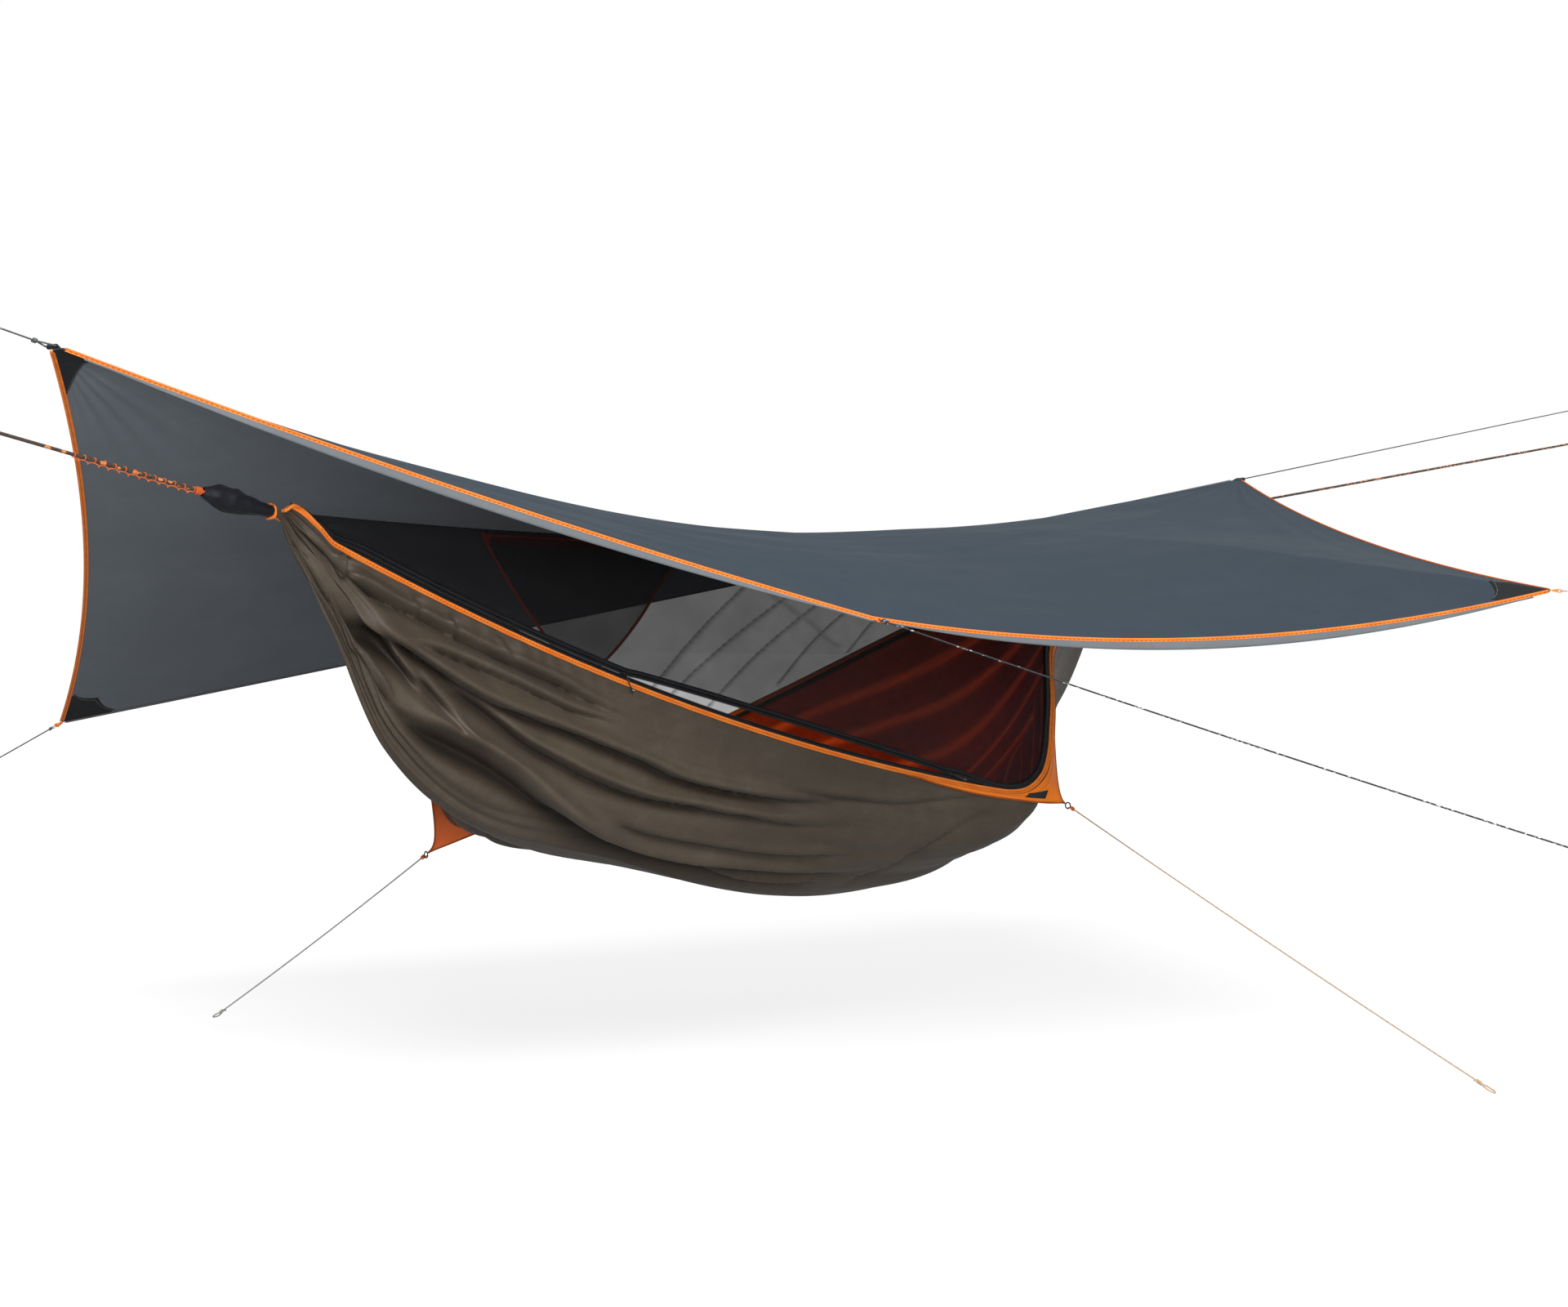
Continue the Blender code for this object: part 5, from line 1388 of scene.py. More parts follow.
@dataclass
class BugNet:
    """The net over the ridgeline, its pocket, and the ridgeline itself.

    The pocket's line gives places along X and heights below the ridgeline. Each crease of the far
    wall is a line of places along X and shares of the wall's height.
    """

    form: BodyForm
    finishes: Finishes
    zip: EntryZip
    ridge_radius: float = 0.002
    lift: float = 0.0031
    wave: float = 0.010
    doubled_wave: float = 0.012
    near_wave: float = 0.006
    rows: int = 50
    columns: int = 460
    far_foot: float = 0.0121
    drawn_together: float = 0.45
    crease_width: float = 0.0062
    faint_crease: float = 0.0045
    piping: float = 0.0030
    pocket_line: tuple = (
        (-0.790, 0.0), (-0.700, -0.110), (-0.625, -0.185), (-0.545, -0.260), (-0.470, -0.226),
        (-0.380, -0.150), (-0.300, -0.060), (-0.240, 0.0),
    )
    creases: tuple = (
        ((0.33, 0.06), (0.02, 0.55), (-0.16, 0.98)), ((0.48, 0.10), (0.20, 0.55), (0.06, 0.92)),
        ((0.60, 0.12), (0.36, 0.60), (0.27, 0.94)), ((0.72, 0.15), (0.52, 0.66), (0.46, 0.96)),
        ((0.05, 0.12), (-0.10, 0.55), (-0.22, 0.95)), ((0.86, 0.2), (0.70, 0.7), (0.66, 0.98)),
        ((0.20, 0.10), (0.45, 0.45), (0.58, 0.80)), ((0.05, 0.22), (0.26, 0.52), (0.42, 0.86)),
    )

    def wall(self, side: Edge, x: Array, share: Array) -> Array:
        """Points of one wall of the net: share is 0 at the ridgeline and 1 at its foot.

        Args:
            side: Which long edge.
            x: Places along X.
            share: Shares of the wall's height.

        Returns:
            The points.
        """
        top = self.form.ridge(x)
        top = top + UP * self.lift + SIDEWAYS * (side.value * self.lift)
        if side is Edge.NEAR:
            foot = self.zip.point(x, self.zip.net_foot(x))
        else:
            foot = self.form.edge(x, side) + self.form.across(x, side) * self.far_foot
        point = mix(top, foot, share[..., None])
        point[..., 1] = point[..., 1] * (1 - 0.06 * share * (1 - share))
        return point

    def crease(self, x: Array, share: Array) -> Array:
        """How much the far wall doubles over, from 0 to 1, along its creases.

        Args:
            x: Places along X.
            share: Shares of the wall's height.

        Returns:
            Shares, 1 on a crease.
        """
        doubled = np.zeros_like(x)
        spots = joined(x, share * 0.45)
        for number, crease in enumerate(self.creases):
            knots = np.array(crease) * (1, 0.45)
            line = through(np.arange(len(knots)), knots, np.linspace(0, len(knots) - 1, 130))
            gap = np.linalg.norm(spots[:, :, None] - line[None, None], axis=-1).min(axis=-1)
            # The last two are fainter
            width, strength = (self.crease_width, 1.0) if number < 6 else (self.faint_crease, 0.5)
            doubled = np.maximum(doubled, np.exp(-(gap / width) ** 2) * strength)
        return doubled

    def build(self) -> None:
        """Make the net, the pocket and the ridgeline."""
        x, share = np.meshgrid(np.linspace(-self.form.half + 0.03, self.form.half - 0.03, self.columns),
                               np.linspace(0, 1, self.rows), indexing="ij")
        near = self.wall(Edge.NEAR, x, share)
        far = self.wall(Edge.FAR, x, share)
        doubled = self.crease(x, share)
        drawn = speckle(x * 5 + share * 2, share * 3, 0)
        free = np.sin(math.pi * share)
        far = far + SIDEWAYS * ((self.wave * drawn + self.doubled_wave * doubled) * free)[..., None]
        drawn = speckle(x * 4, share * 3, 7)
        near = near - SIDEWAYS * (self.near_wave * drawn * free)[..., None]
        points = np.concatenate((near[:, ::-1], far), axis=1)
        net = cloth("bug_net_cloth", points, self.finishes.net, 0, "black_net", "bug_net", sharp=85.0)
        mark(net, "doubling", np.concatenate((np.full_like(doubled, self.drawn_together), doubled), axis=1))
        self.build_pocket()
        path = self.form.ridge(np.linspace(-self.form.half + 0.01, self.form.half - 0.01, 120))
        Draft().rope(path, self.ridge_radius, 10).ride("ridge_rope", self.finishes.grey_cord, "grey_cord",
                                                       "ridgeline")

    def build_pocket(self) -> None:
        """The pocket of doubled net that hangs from the ridgeline, with its piped edge."""
        knots = np.array([(x, 0, z) for x, z in self.pocket_line])
        x = np.linspace(knots[0, 0], knots[-1, 0], 60)
        depth = curve(knots, x)[:, 2] - 0.010
        top = self.form.ridge(x) - UP * (self.ridge_radius + 0.0006)
        share = np.linspace(0, 1, 18)
        points = top[:, None] + UP * (depth[:, None] * share[None])[..., None]
        bulge = 0.010 * np.sin(math.pi * share)[None] * np.sin(math.pi * np.linspace(0, 1, 60))[:, None]
        for side, nodes in ((Edge.NEAR, ("mesh_pocket",)), (Edge.FAR, ())):
            offset = SIDEWAYS * (side.value * (0.0008 + bulge))[..., None]
            wall = cloth("pocket_net_" + side.label, points + offset, self.finishes.pocket, 0, "black_net", *nodes,
                         sharp=85.0)
        rim = np.concatenate((top[:1], points[:, -1], top[-1:]))
        Draft().rope(rim, self.piping, 8, upward=SIDEWAYS).ride("pocket_piping", self.finishes.shaded_piping, "black_net")
        band = np.array(((-1, -1), (1, -1), (1, 1), (-1, 1))) * (0.0016, 0.0090)
        Draft().sweep(top - UP * 0.0112, band).ride("pocket_top_band", self.finishes.shaded_piping, "black_net")


@dataclass
class SideCorner:
    """One orange corner that is drawn out to its ring, with its seams, patch and tip."""

    form: BodyForm
    finishes: Finishes
    side: Edge
    tie: tuple
    first: float
    peak: float
    last: float
    rise: float
    fall: float
    arm: float = 0.014
    ripple: float = 0.004
    wall: float = 0.0012

    def share(self, x: Array) -> Array:
        """How far the corner reaches towards its tip at each place along the edge."""
        arm = np.where(x < self.peak, (self.peak - x) / self.rise, (x - self.peak) / self.fall)
        return np.maximum(1 - arm, 0) ** 1.25

    def build(self) -> None:
        """Make the corner's cloth, its edge tape and its stitch lines."""
        edge = self.form.edge
        tie = np.array(self.tie)
        label = self.side.label
        peak = edge(np.array(self.peak), self.side)
        low = np.linspace(self.first, self.peak, 60)
        high = np.linspace(self.peak, self.last, 60)[1:]
        x = np.concatenate((low, high))
        rim = edge(x, self.side)
        flat = np.cross(self.form.tangent(x, self.side), UP)
        outside = unit(flat) * (1 if self.side is Edge.NEAR else -1)
        inner = rim + outside * mix(0.0034, 0.0010, ease((x - self.peak) / 0.06))[:, None]
        arm = self.arm * ease((x - self.first) / 0.16)
        narrow = inner + unit(outside * 0.1 - UP) * np.maximum(arm, 0.0012)[:, None]
        tip = tie - unit(tie - peak) * 0.0006 + (inner - peak) * 0.03
        outer = mix(narrow, tip, self.share(x)[:, None])
        rows = np.linspace(0, 1, 24)
        points = mix(inner[:, None], outer[:, None], rows[None, :, None])
        ripple = speckle(points * 14) * np.sin(math.pi * rows)[None] * self.share(x)[:, None]
        points = points + outside[:, None] * (self.ripple * ripple)[..., None]
        surface = self.finishes.panel if self.side is Edge.NEAR else self.finishes.panel_far
        panel = cloth("corner_cloth_" + label, points, surface, self.wall, "orange_panel_cloth",
                      "corner_panel_" + label)
        for row, name in ((4, "upper"), (20, "lower")):
            line = points[6:-6, row] + outside[6:-6] * self.wall
            stitch = Stitching(f"corner_stitches_{name}_{label}", self.finishes.dark_thread)
            stitch.along(line, outside[6:-6], "orange_panel_cloth")
        if self.side is Edge.NEAR:
            self.plain_patch(points, outside[55])
        border = points[:, -1]
        Draft().sweep(border, folded_tape(0.0034, 0.0030, 0.0006), outside).ride(
            "corner_tape_" + label, self.finishes.seam, "orange_tape")

    def plain_patch(self, panel: Array, outside: Array) -> None:
        """A small plain diamond of dark cloth sewn on the corner.

        Args:
            panel: The corner cloth's points.
            outside: The direction that its outer face looks in.
        """
        step = np.linspace(-1, 1, 9)
        first, second = np.meshgrid(step, step, indexing="ij")
        column = 51.5 - 3.0 * (first + second)
        row = 7.5 + 3.0 * (first - second)
        low, left = row.astype(int), column.astype(int)
        share = (column - left)[..., None]
        near = mix(panel[left, low], panel[left + 1, low], share)
        away = mix(panel[left, low + 1], panel[left + 1, low + 1], share)
        points = mix(near, away, (row - low)[..., None]) + outside * 0.0022
        cloth("corner_badge_cloth", points, self.finishes.patch, 0.0008, "orange_panel_cloth")


@dataclass
class GatheredEnd:
    """One end: band, baggy sleeve, suspension rope, its row of loops and the eye at its far end."""

    form: BodyForm
    finishes: Finishes
    end: End
    reach: float
    loops: int = 12
    pitch: float = 0.0205
    rope: float = 0.003
    eye: tuple = (0.055, 0.026)
    band: tuple = (0.0072, 0.0050, 0.001)
    band_place: float = 0.007
    band_radius: float = 0.0113
    loop_cord: float = 0.0009
    loop_gap: float = 0.0012
    loop_hump: float = 0.0050
    sleeve_start: float = 0.0111
    sleeve_length: float = 0.146
    crumple: float = 0.0034
    fine_crumple: float = 0.0006
    sleeve_least: float = 0.0068
    sleeve_flare: float = 0.0160
    profile: tuple = ((0.0, 0.0105), (0.10, 0.0112), (0.24, 0.0138), (0.42, 0.0186), (0.62, 0.0222),
                      (0.80, 0.0190), (0.93, 0.0118), (1.0, 0.0070))

    def __post_init__(self) -> None:
        """Settle the directions of the end."""
        self.out = self.form.pull(self.end)
        self.neck = self.form.gather(self.end)
        lift = np.cross(self.out, SIDEWAYS)
        self.lift = lift if lift[2] > 0 else -lift
        self.knot_start = self.sleeve_start + self.sleeve_length + 0.0015
        self.rope_start = self.knot_start + 0.0135

    def at(self, reach: Array, sideways: Array = 0.0, lift: Array = 0.0) -> Array:
        """Points along the pull, moved sideways and upward."""
        reach, sideways, lift = np.broadcast_arrays(reach, sideways, lift)
        moved = self.out * reach[..., None] + SIDEWAYS * sideways[..., None] + self.lift * lift[..., None]
        return self.neck + moved

    def build_rope(self) -> None:
        """The suspension rope with the knot and eye at its far end."""
        label = self.end.label
        path = self.at(np.linspace(self.rope_start, self.reach, 24))
        rope = Draft().rope(path, self.rope, 12).ride("suspension_rope_" + label, self.finishes.rope, "brown_rope",
                                                      "suspension_" + label)
        eye = eye_with_knot("anchor_eye_" + label, self.at(np.array(self.reach + 0.0005)), self.out, self.rope,
                            self.eye, SIDEWAYS, self.finishes.rope, "brown_rope", "anchor_loop_" + label)

    def build(self) -> None:
        """Make the band, the sleeve and the row of loops."""
        label = self.end.label
        turn = np.linspace(0, 2 * math.pi, 40, endpoint=False)
        wave = 1 + 0.05 * np.sin(5 * turn + 1)
        girth = self.band_radius * wave
        ring = self.at(self.band_place + 0.0012 * np.sin(3 * turn), girth * np.cos(turn), girth * np.sin(turn))
        section = folded_tape(*self.band)[:, ::-1]
        Draft().sweep(ring, section, unit(ring - self.at(self.band_place)), closed=True).ride(
            "end_band_tape_" + label, self.finishes.tape, "orange_tape", "end_band_" + label)
        self.build_sleeve(label)
        count = 14 * self.loops + 1
        step = np.linspace(0, self.loops, count)
        hump = np.sin(math.pi * step) ** 2
        back = 0.0042 * np.sin(2 * math.pi * step)
        held = self.rope + self.loop_gap
        first = self.rope_start + 0.004
        height = -(held + self.loop_hump * hump)
        along = first + self.pitch * step + back
        daisy = Draft().rope(self.at(along, 0.0012 * np.sin(math.pi * step), height), self.loop_cord, 8)
        few = turn[::4]
        for number in range(self.loops + 1):
            middle = first + self.pitch * number
            ring = self.at(middle + 0.0009 * np.cos(few), held * np.cos(few), held * np.sin(few))
            daisy.rope(ring, 0.0008, 6, closed=True, upward=self.out)
        daisy.ride("daisy_loops_" + label, self.finishes.orange_cord, "orange_tape", "daisy_chain_" + label)

    def build_sleeve(self, label: str) -> None:
        """The baggy cloth sleeve over the joint, crumpled along its length.

        Args:
            label: The end's name.
        """
        share, turn = np.meshgrid(np.linspace(0, 1, 70), np.linspace(0, 2 * math.pi, 64, endpoint=False),
                                  indexing="ij")
        round_places = joined(share * 3.2, np.cos(turn) * 1.3 + share * 2, np.sin(turn) * 1.3 + self.end.value)
        ridges = 1 - 2 * np.abs(speckle(round_places))
        small = speckle(round_places * 2.7)
        free = np.sin(math.pi * np.clip(share, 0.03, 0.97)) ** 0.6
        relief = free * (self.crumple * (ridges - 0.7) + self.fine_crumple * small)
        size = curve(self.profile, share)[..., 1] + relief
        size = np.maximum(size, self.sleeve_least)
        broad = np.maximum(size, self.sleeve_flare * (1 - 0.5 * share))
        points = self.at(self.sleeve_start + self.sleeve_length * share, broad * np.cos(turn), size * np.sin(turn))
        sleeve = Draft().grid(points, wrap=True).build("end_sleeve_cloth_" + label, [self.finishes.sleeve],
                                                       solid=True, sharp=85)
        thicken(sleeve, 0.0007, -1.0)
        fit(sleeve, "black_sleeve_cloth", "end_sleeve_" + label)


def place(point: Array) -> tuple:
    """A point of the object in the model's frame, as plain numbers."""
    return tuple(float(value) for value in point + MIDDLE)


def eye_path(start: Array, along: Array, sideways: Array, size: tuple, radius: float) -> Array:
    """The path of an eye that leaves a knot and comes back beside itself.

    Args:
        start: Where it leaves the knot.
        along: The cord's direction.
        sideways: A direction in the eye's plane.
        size: Its length and width.
        radius: The cord's radius.

    Returns:
        The path.
    """
    length, width = size
    turn = np.linspace(0.12, 2 * math.pi - 0.12, 41)
    out = length * (1 - np.cos(turn)) / 2
    swing = np.abs(width / 2 * np.sin(turn) * np.sin(turn / 2) ** 0.6)
    swing = np.where(out < length / 2, np.maximum(swing, radius * 1.12), swing)
    swing = np.where(turn > math.pi, -swing, swing)
    return start + along * out[:, None] + sideways * swing[:, None]


def eye_with_knot(name: str, start: Array, along: Array, radius: float, size: tuple,
                  sideways: Array, surface: Material, slot: str, node_name: str) -> Object:
    """The eye that a cord ends in and the wrapped knot that closes it.

    Args:
        name: The piece's name.
        start: Where the cord ends.
        along: The cord's direction.
        radius: The cord's radius.
        size: Length and width of the eye.
        sideways: A direction in the eye's plane.
        surface: Its finish.
        slot: The record's slot.
        node_name: The model's node that it stands for.

    Returns:
        The piece.
    """
    length = max(0.014, 3.2 * radius)
    draft = Draft().rope(wrapped(start, along, radius * 0.85, length, 4), radius * 0.85, 8)
    eye = eye_path(start + along * (length - 2.2 * radius), along, sideways, size, radius)
    draft.rope(eye, radius, 8, upward=np.cross(along, sideways))
    return draft.ride(name, surface, slot, node_name)


@dataclass(frozen=True)
class Span:
    """One edge of the tarp between two corners: a chord bowed inwards, which may sag."""

    start: tuple
    end: tuple
    bow: float
    sag: float = 0.0

    def point(self, x: Array) -> Array:
        """Points of the edge at these places along the ridge.

        Args:
            x: Places along X.

        Returns:
            The points.
        """
        start = np.array(self.start, float)
        end = np.array(self.end, float)
        share = np.clip((x - start[0]) / (end[0] - start[0]), 0, 1)
        inward = unit(np.cross(UP, end - start))
        inward = inward if np.dot(inward, -(start + end) / 2) > 0 else -inward
        swell = (4 * share * (1 - share))[..., None]
        return start + (end - start) * share[..., None] + (inward * self.bow - UP * self.sag) * swell


@dataclass
class TarpForm:
    """The form of the tarp: a hypar between four corners, with a tie-out in its near edge."""

    left: tuple = (-1.728, 0.0, 0.244)
    right: tuple = (1.766, 0.0, 0.134)
    near: tuple = (0.653, -1.424, -0.151)
    far: tuple = (-0.712, 1.441, -0.429)
    side: tuple = (-0.516, -0.713, -0.199)
    webbing: float = 0.022
    ridge_sag: float = 0.2125
    ridge_lift: float = 0.016
    slope_power: float = 1.35
    broad_ripple: float = 0.006
    drawn_ripple: float = 0.0035
    fine_ripple: float = 0.0006
    wrinkle: float = 0.0022

    def __post_init__(self) -> None:
        """Lay out the edges from corner to corner."""
        blunt = self.webbing / 2
        left = (self.left[0], -blunt, self.left[2])
        right = (self.right[0], -blunt, self.right[2])
        self.near_spans = (Span(left, self.side, 0.035, 0.012), Span(self.side, self.near, 0.035, 0.064),
                           Span(self.near, right, 0.036, 0.027))
        left = (self.left[0], blunt, self.left[2])
        right = (self.right[0], blunt, self.right[2])
        self.far_spans = (Span(left, self.far, 0.054), Span(self.far, right, 0.055))

    def edge(self, x: Array, side: Edge) -> Array:
        """Points of one edge.

        Args:
            x: Places along X.
            side: Which long edge.

        Returns:
            The points.
        """
        spans = self.near_spans if side is Edge.NEAR else self.far_spans
        x = np.asarray(x, float)
        points = spans[-1].point(x)
        for span in reversed(spans[:-1]):
            points = np.where((x <= span.end[0])[..., None], span.point(x), points)
        return points

    def ridge(self, x: Array) -> Array:
        """Points of the sagging ridge.

        Args:
            x: Places along X.

        Returns:
            The points.
        """
        share = (x - self.left[0]) / (self.right[0] - self.left[0])
        height = mix(self.left[2], self.right[2], share) - self.ridge_sag * 4 * share * (1 - share)
        height = height + self.ridge_lift * np.sin(math.pi * np.clip((share - 0.52) / 0.48, 0, 1))
        return joined(x, np.zeros_like(x), height)

    def point(self, x: Array, w: Array) -> Array:
        """Points of the cloth: w is -1 at the near edge, 0 at the ridge and 1 at the far edge.

        Args:
            x: Places along X.
            w: Places across the cloth, from -1 to 1.

        Returns:
            The points.
        """
        x, w = np.broadcast_arrays(np.asarray(x, float), np.asarray(w, float))
        ridge = self.ridge(x)
        rim = np.where((w < 0)[..., None], self.edge(x, Edge.NEAR), self.edge(x, Edge.FAR))
        share = np.abs(w)
        return joined(mix(ridge[..., 0], rim[..., 0], share), rim[..., 1] * share,
                      mix(ridge[..., 2], rim[..., 2], share ** self.slope_power))

    def normal(self, x: Array, w: Array) -> Array:
        """The direction square to the cloth, upwards.

        Args:
            x: Places along X.
            w: Places across the cloth, from -1 to 1.

        Returns:
            Directions of length one.
        """
        across = self.point(x, np.minimum(w + 0.02, 1)) - self.point(x, np.maximum(w - 0.02, -1))
        low = np.maximum(x - 0.01, self.left[0])
        high = np.minimum(x + 0.01, self.right[0])
        return unit(np.cross(self.point(high, w) - self.point(low, w), across))

    def slack(self, x: Array, w: Array) -> Array:
        """Ripples of the cloth, as distances along its normal.

        Args:
            x: Places along X.
            w: Places across the cloth, from -1 to 1.

        Returns:
            Distances in metres.
        """
        points = self.point(x, w)
        free = (1 - np.abs(w) ** 6) * ease((x - self.left[0]) / 0.15) * ease((self.right[0] - x) / 0.15)
        broad = speckle(points * (1.6, 2.2, 0))
        drawn = speckle(points[..., 0] * 1.6, w * 11, 4)
        small = speckle(points[..., 0] * 3.2, points[..., 1] * 19, 9)
        wrinkled = np.exp(-((points[..., 0] - 0.35) / 0.45) ** 2) * np.exp(-((w + 0.25) / 0.35) ** 2)
        fine = (self.fine_ripple + self.wrinkle * wrinkled) * small
        return free * (self.broad_ripple * broad + self.drawn_ripple * drawn + fine)


@dataclass
class Tarp:
    """The tarp's cloth, its bound edges, hem and corner patches."""

    form: TarpForm
    finishes: Finishes
    wall: float = 0.0009
    binding: float = 0.0048
    hem: float = 0.016
    patch_reach: float = 0.095
    patch_lift: float = 0.0013
    trim: float = 0.016

    def places(self, low: float, high: float, step: float) -> Array:
        """Even places along the ridge, with one at each corner and tie-out between.

        Args:
            low: The first place.
            high: The last place.
            step: About how far apart.

        Returns:
            The places.
        """
        marks = [low] + [x for x in sorted((self.form.far[0], self.form.side[0], self.form.near[0]))
                         if low < x < high] + [high]
        runs = [np.linspace(a, b, max(int((b - a) / step), 2) + 1)[:-1] for a, b in zip(marks, marks[1:])]
        return np.concatenate(runs + [np.array([high])])

    def build(self) -> None:
        """Make the cloth and everything sewn to it."""
        form = self.form
        x, w = np.meshgrid(self.places(form.left[0], form.right[0], 0.02), np.linspace(-1, 1, 141), indexing="ij")
        points = form.point(x, w) + form.normal(x, w) * form.slack(x, w)[..., None]
        canopy = Draft().grid(points[:, ::-1]).build(
            "tarp_cloth", [self.finishes.tarp_top, self.finishes.tarp_under], solid=False, sharp=80)
        if canopy.data.polygons[0].normal.z < 0:
            canopy.data.flip_normals()
        thicken(canopy, self.wall, back=1)
        fit(canopy, "grey_tarp_cloth", "tarp_canopy")
        runs = (
            ("near", Edge.NEAR, form.left[0], form.near[0]), ("right", Edge.NEAR, form.near[0], form.right[0]),
            ("left", Edge.FAR, form.left[0], form.far[0]), ("far", Edge.FAR, form.far[0], form.right[0]),
        )
        for name, side, low, high in runs:
            self.bind(name, side, low + self.trim * 0.4, high - self.trim * 0.4)
        self.build_hem()
        self.build_patches()

    def outward(self, x: Array, side: Edge) -> Array:
        """The direction out of an edge, level and square to it.

        Args:
            x: Places along X.
            side: Which long edge.

        Returns:
            Directions of length one.
        """
        low = np.maximum(x - 0.01, self.form.left[0])
        high = np.minimum(x + 0.01, self.form.right[0])
        along = self.form.edge(high, side) - self.form.edge(low, side)
        flat = unit(np.cross(UP, along))
        return flat * np.sign(flat[..., 1:2] * side.value)

    def bind(self, name: str, side: Edge, low: float, high: float) -> None:
        """The folded tape along one edge, with its seam and stitches.

        Args:
            name: Which binding.
            side: The edge.
            low: Its first place along the ridge.
            high: Its last.
        """
        x = self.places(low, high, 0.008)
        out = self.outward(x, side)
        edge = self.form.edge(x, side)
        normal = self.form.normal(x, np.full_like(x, side.value))
        path = edge + out * (self.binding * 0.35)
        up = normal
        section = folded_tape((1.25 if side is Edge.NEAR else 2) * self.binding, 0.0046, 0.0012)
        if side is Edge.NEAR:
            up = unit(mix(np.broadcast_to(UP, out.shape), -out, 0.62))
        surface = self.finishes.flange if name == "far" else self.finishes.tape
        Draft().sweep(path, section, up).ride("tarp_edge_tape_" + name, surface, "orange_tape",
                                              "tarp_binding_" + name)
        face = unit(out - up * np.sum(out * up, axis=-1, keepdims=True))
        rows = [(path + up * 0.0022 + face * 0.0002, up), (path - up * 0.0022 + face * 0.0002, -up)]
        stitches = Stitching("tarp_edge_stitches_" + name, self.finishes.dark_thread, 0.009, 0.0058, 0.0013)
        fit(stitches.repeated(rows), "orange_tape")

    def build_hem(self) -> None:
        """The flange that hangs below the near binding, widest between the tie-outs."""
        low = self.form.left[0] + self.trim * 2
        high = self.form.near[0] - self.trim * 2
        x = self.places(low, high, 0.012)
        start = np.where(x <= self.form.side[0], self.form.left[0], self.form.side[0])
        end = np.where(x <= self.form.side[0], self.form.side[0], self.form.near[0])
        share = (x - start) / (end - start)
        depth = self.hem * np.maximum(4 * share * (1 - share), 0.2)
        top = self.form.edge(x, Edge.NEAR) + self.outward(x, Edge.NEAR) * 0.0020 - UP * 0.0030
        wave = 0.0012 * speckle(x * 14, 0, 0)
        rows = [top - UP * (depth * part)[:, None] + self.outward(x, Edge.NEAR) * (wave * part)[:, None]
                for part in (0.0, 0.35, 0.7, 1.0)]
        hem = cloth("tarp_hem_flange", np.stack(rows, axis=1), self.finishes.flange, 0.0009, "grey_tarp_cloth",
                    "tarp_hem_near", sharp=50.0)

    def build_patches(self) -> None:
        """The dark patches that stiffen the corners, one on each face, with stitched borders."""
        form = self.form
        for lift, face in ((-self.patch_lift, "under"), (self.patch_lift, "top")):
            share, w = np.meshgrid(np.linspace(0, 1, 24), np.linspace(-0.985, 0.985, 36), indexing="ij")
            reach = self.patch_reach * (0.62 + 0.38 * w ** 2)
            x = form.left[0] + 0.004 + reach * share
            self.patch("left", face, x, w, lift, face == "under", True)
            for side, corner, node_face in ((Edge.NEAR, form.near, "top"), (Edge.FAR, form.far, "under")):
                along, inward = np.meshgrid(np.linspace(0, 1, 49), np.linspace(0, 1, 14), indexing="ij")
                x = corner[0] + self.patch_reach * 0.9 * (2 * along - 1)
                depth = 0.012 + 0.075 * (1 - np.abs(2 * along - 1)) ** 1.3
                w = side.value * (0.995 - depth * inward)
                self.patch(side.label, face, x, w, lift, face == node_face, False)

    def patch(self, corner: str, face: str, x: Array, w: Array, lift: float, counted: bool,
              crosswise: bool) -> None:
        """One patch laid on a face of the tarp.

        Args:
            corner: Its corner.
            face: Its face.
            x: Places along the ridge.
            w: Places across it.
            lift: How far it lies off the middle of the cloth.
            counted: Whether it stands for the corner's node.
            crosswise: Whether its inner border is the last row of points, not the last column.
        """
        form = self.form
        normal = form.normal(x, w)
        points = form.point(x, w) + normal * (form.slack(x, w) + lift)[..., None]
        label = f"{corner}_{face}"
        nodes = ("tarp_patch_" + corner,) if counted else ()
        made = cloth("corner_patch_" + label, points, self.finishes.patch, 0.0007, "dark_patch_cloth", *nodes)
        up = made.data.polygons[len(made.data.polygons) // 2].normal.z
        if (up > 0) != (lift > 0):
            made.data.flip_normals()
        rows, lean = (points, normal) if crosswise else (points.swapaxes(0, 1), normal.swapaxes(0, 1))
        lean = lean[-1] * math.copysign(1, lift)
        path = mix(rows[-1], rows[-3], 0.5) + lean * 0.0009
        stitch = Stitching("patch_stitches_" + label, self.finishes.pale_thread, 0.006, 0.0034, 0.0010)
        stitch.along(path[1:-1], lean[1:-1], "dark_patch_cloth")


@dataclass
class Guyline:
    """A taut cord from a fitting to the knot and eye just beyond the view."""

    label: str
    start: Array
    end: Array
    surface: Material
    slot: str
    sag: float = 0.0
    loop: str = ""
    radius: float = 0.0015
    eye: tuple = (0.034, 0.016)
    points: int = 24

    def build(self) -> None:
        out = unit(self.end - self.start)
        share = np.linspace(0, 1, self.points)[:, None]
        path = mix(self.start, self.end, share) - UP * (self.sag * 4 * share * (1 - share))
        cord = Draft().rope(path, self.radius, 8).ride(self.label + "_cord", self.surface, self.slot, self.label)
        sideways = unit(np.cross(UP, out))
        loop = self.loop or self.label + "_loop"
        eye = eye_with_knot(loop + "_eye", self.end + out * 0.0005, out, self.radius, self.eye, sideways,
                            self.surface, self.slot, loop)


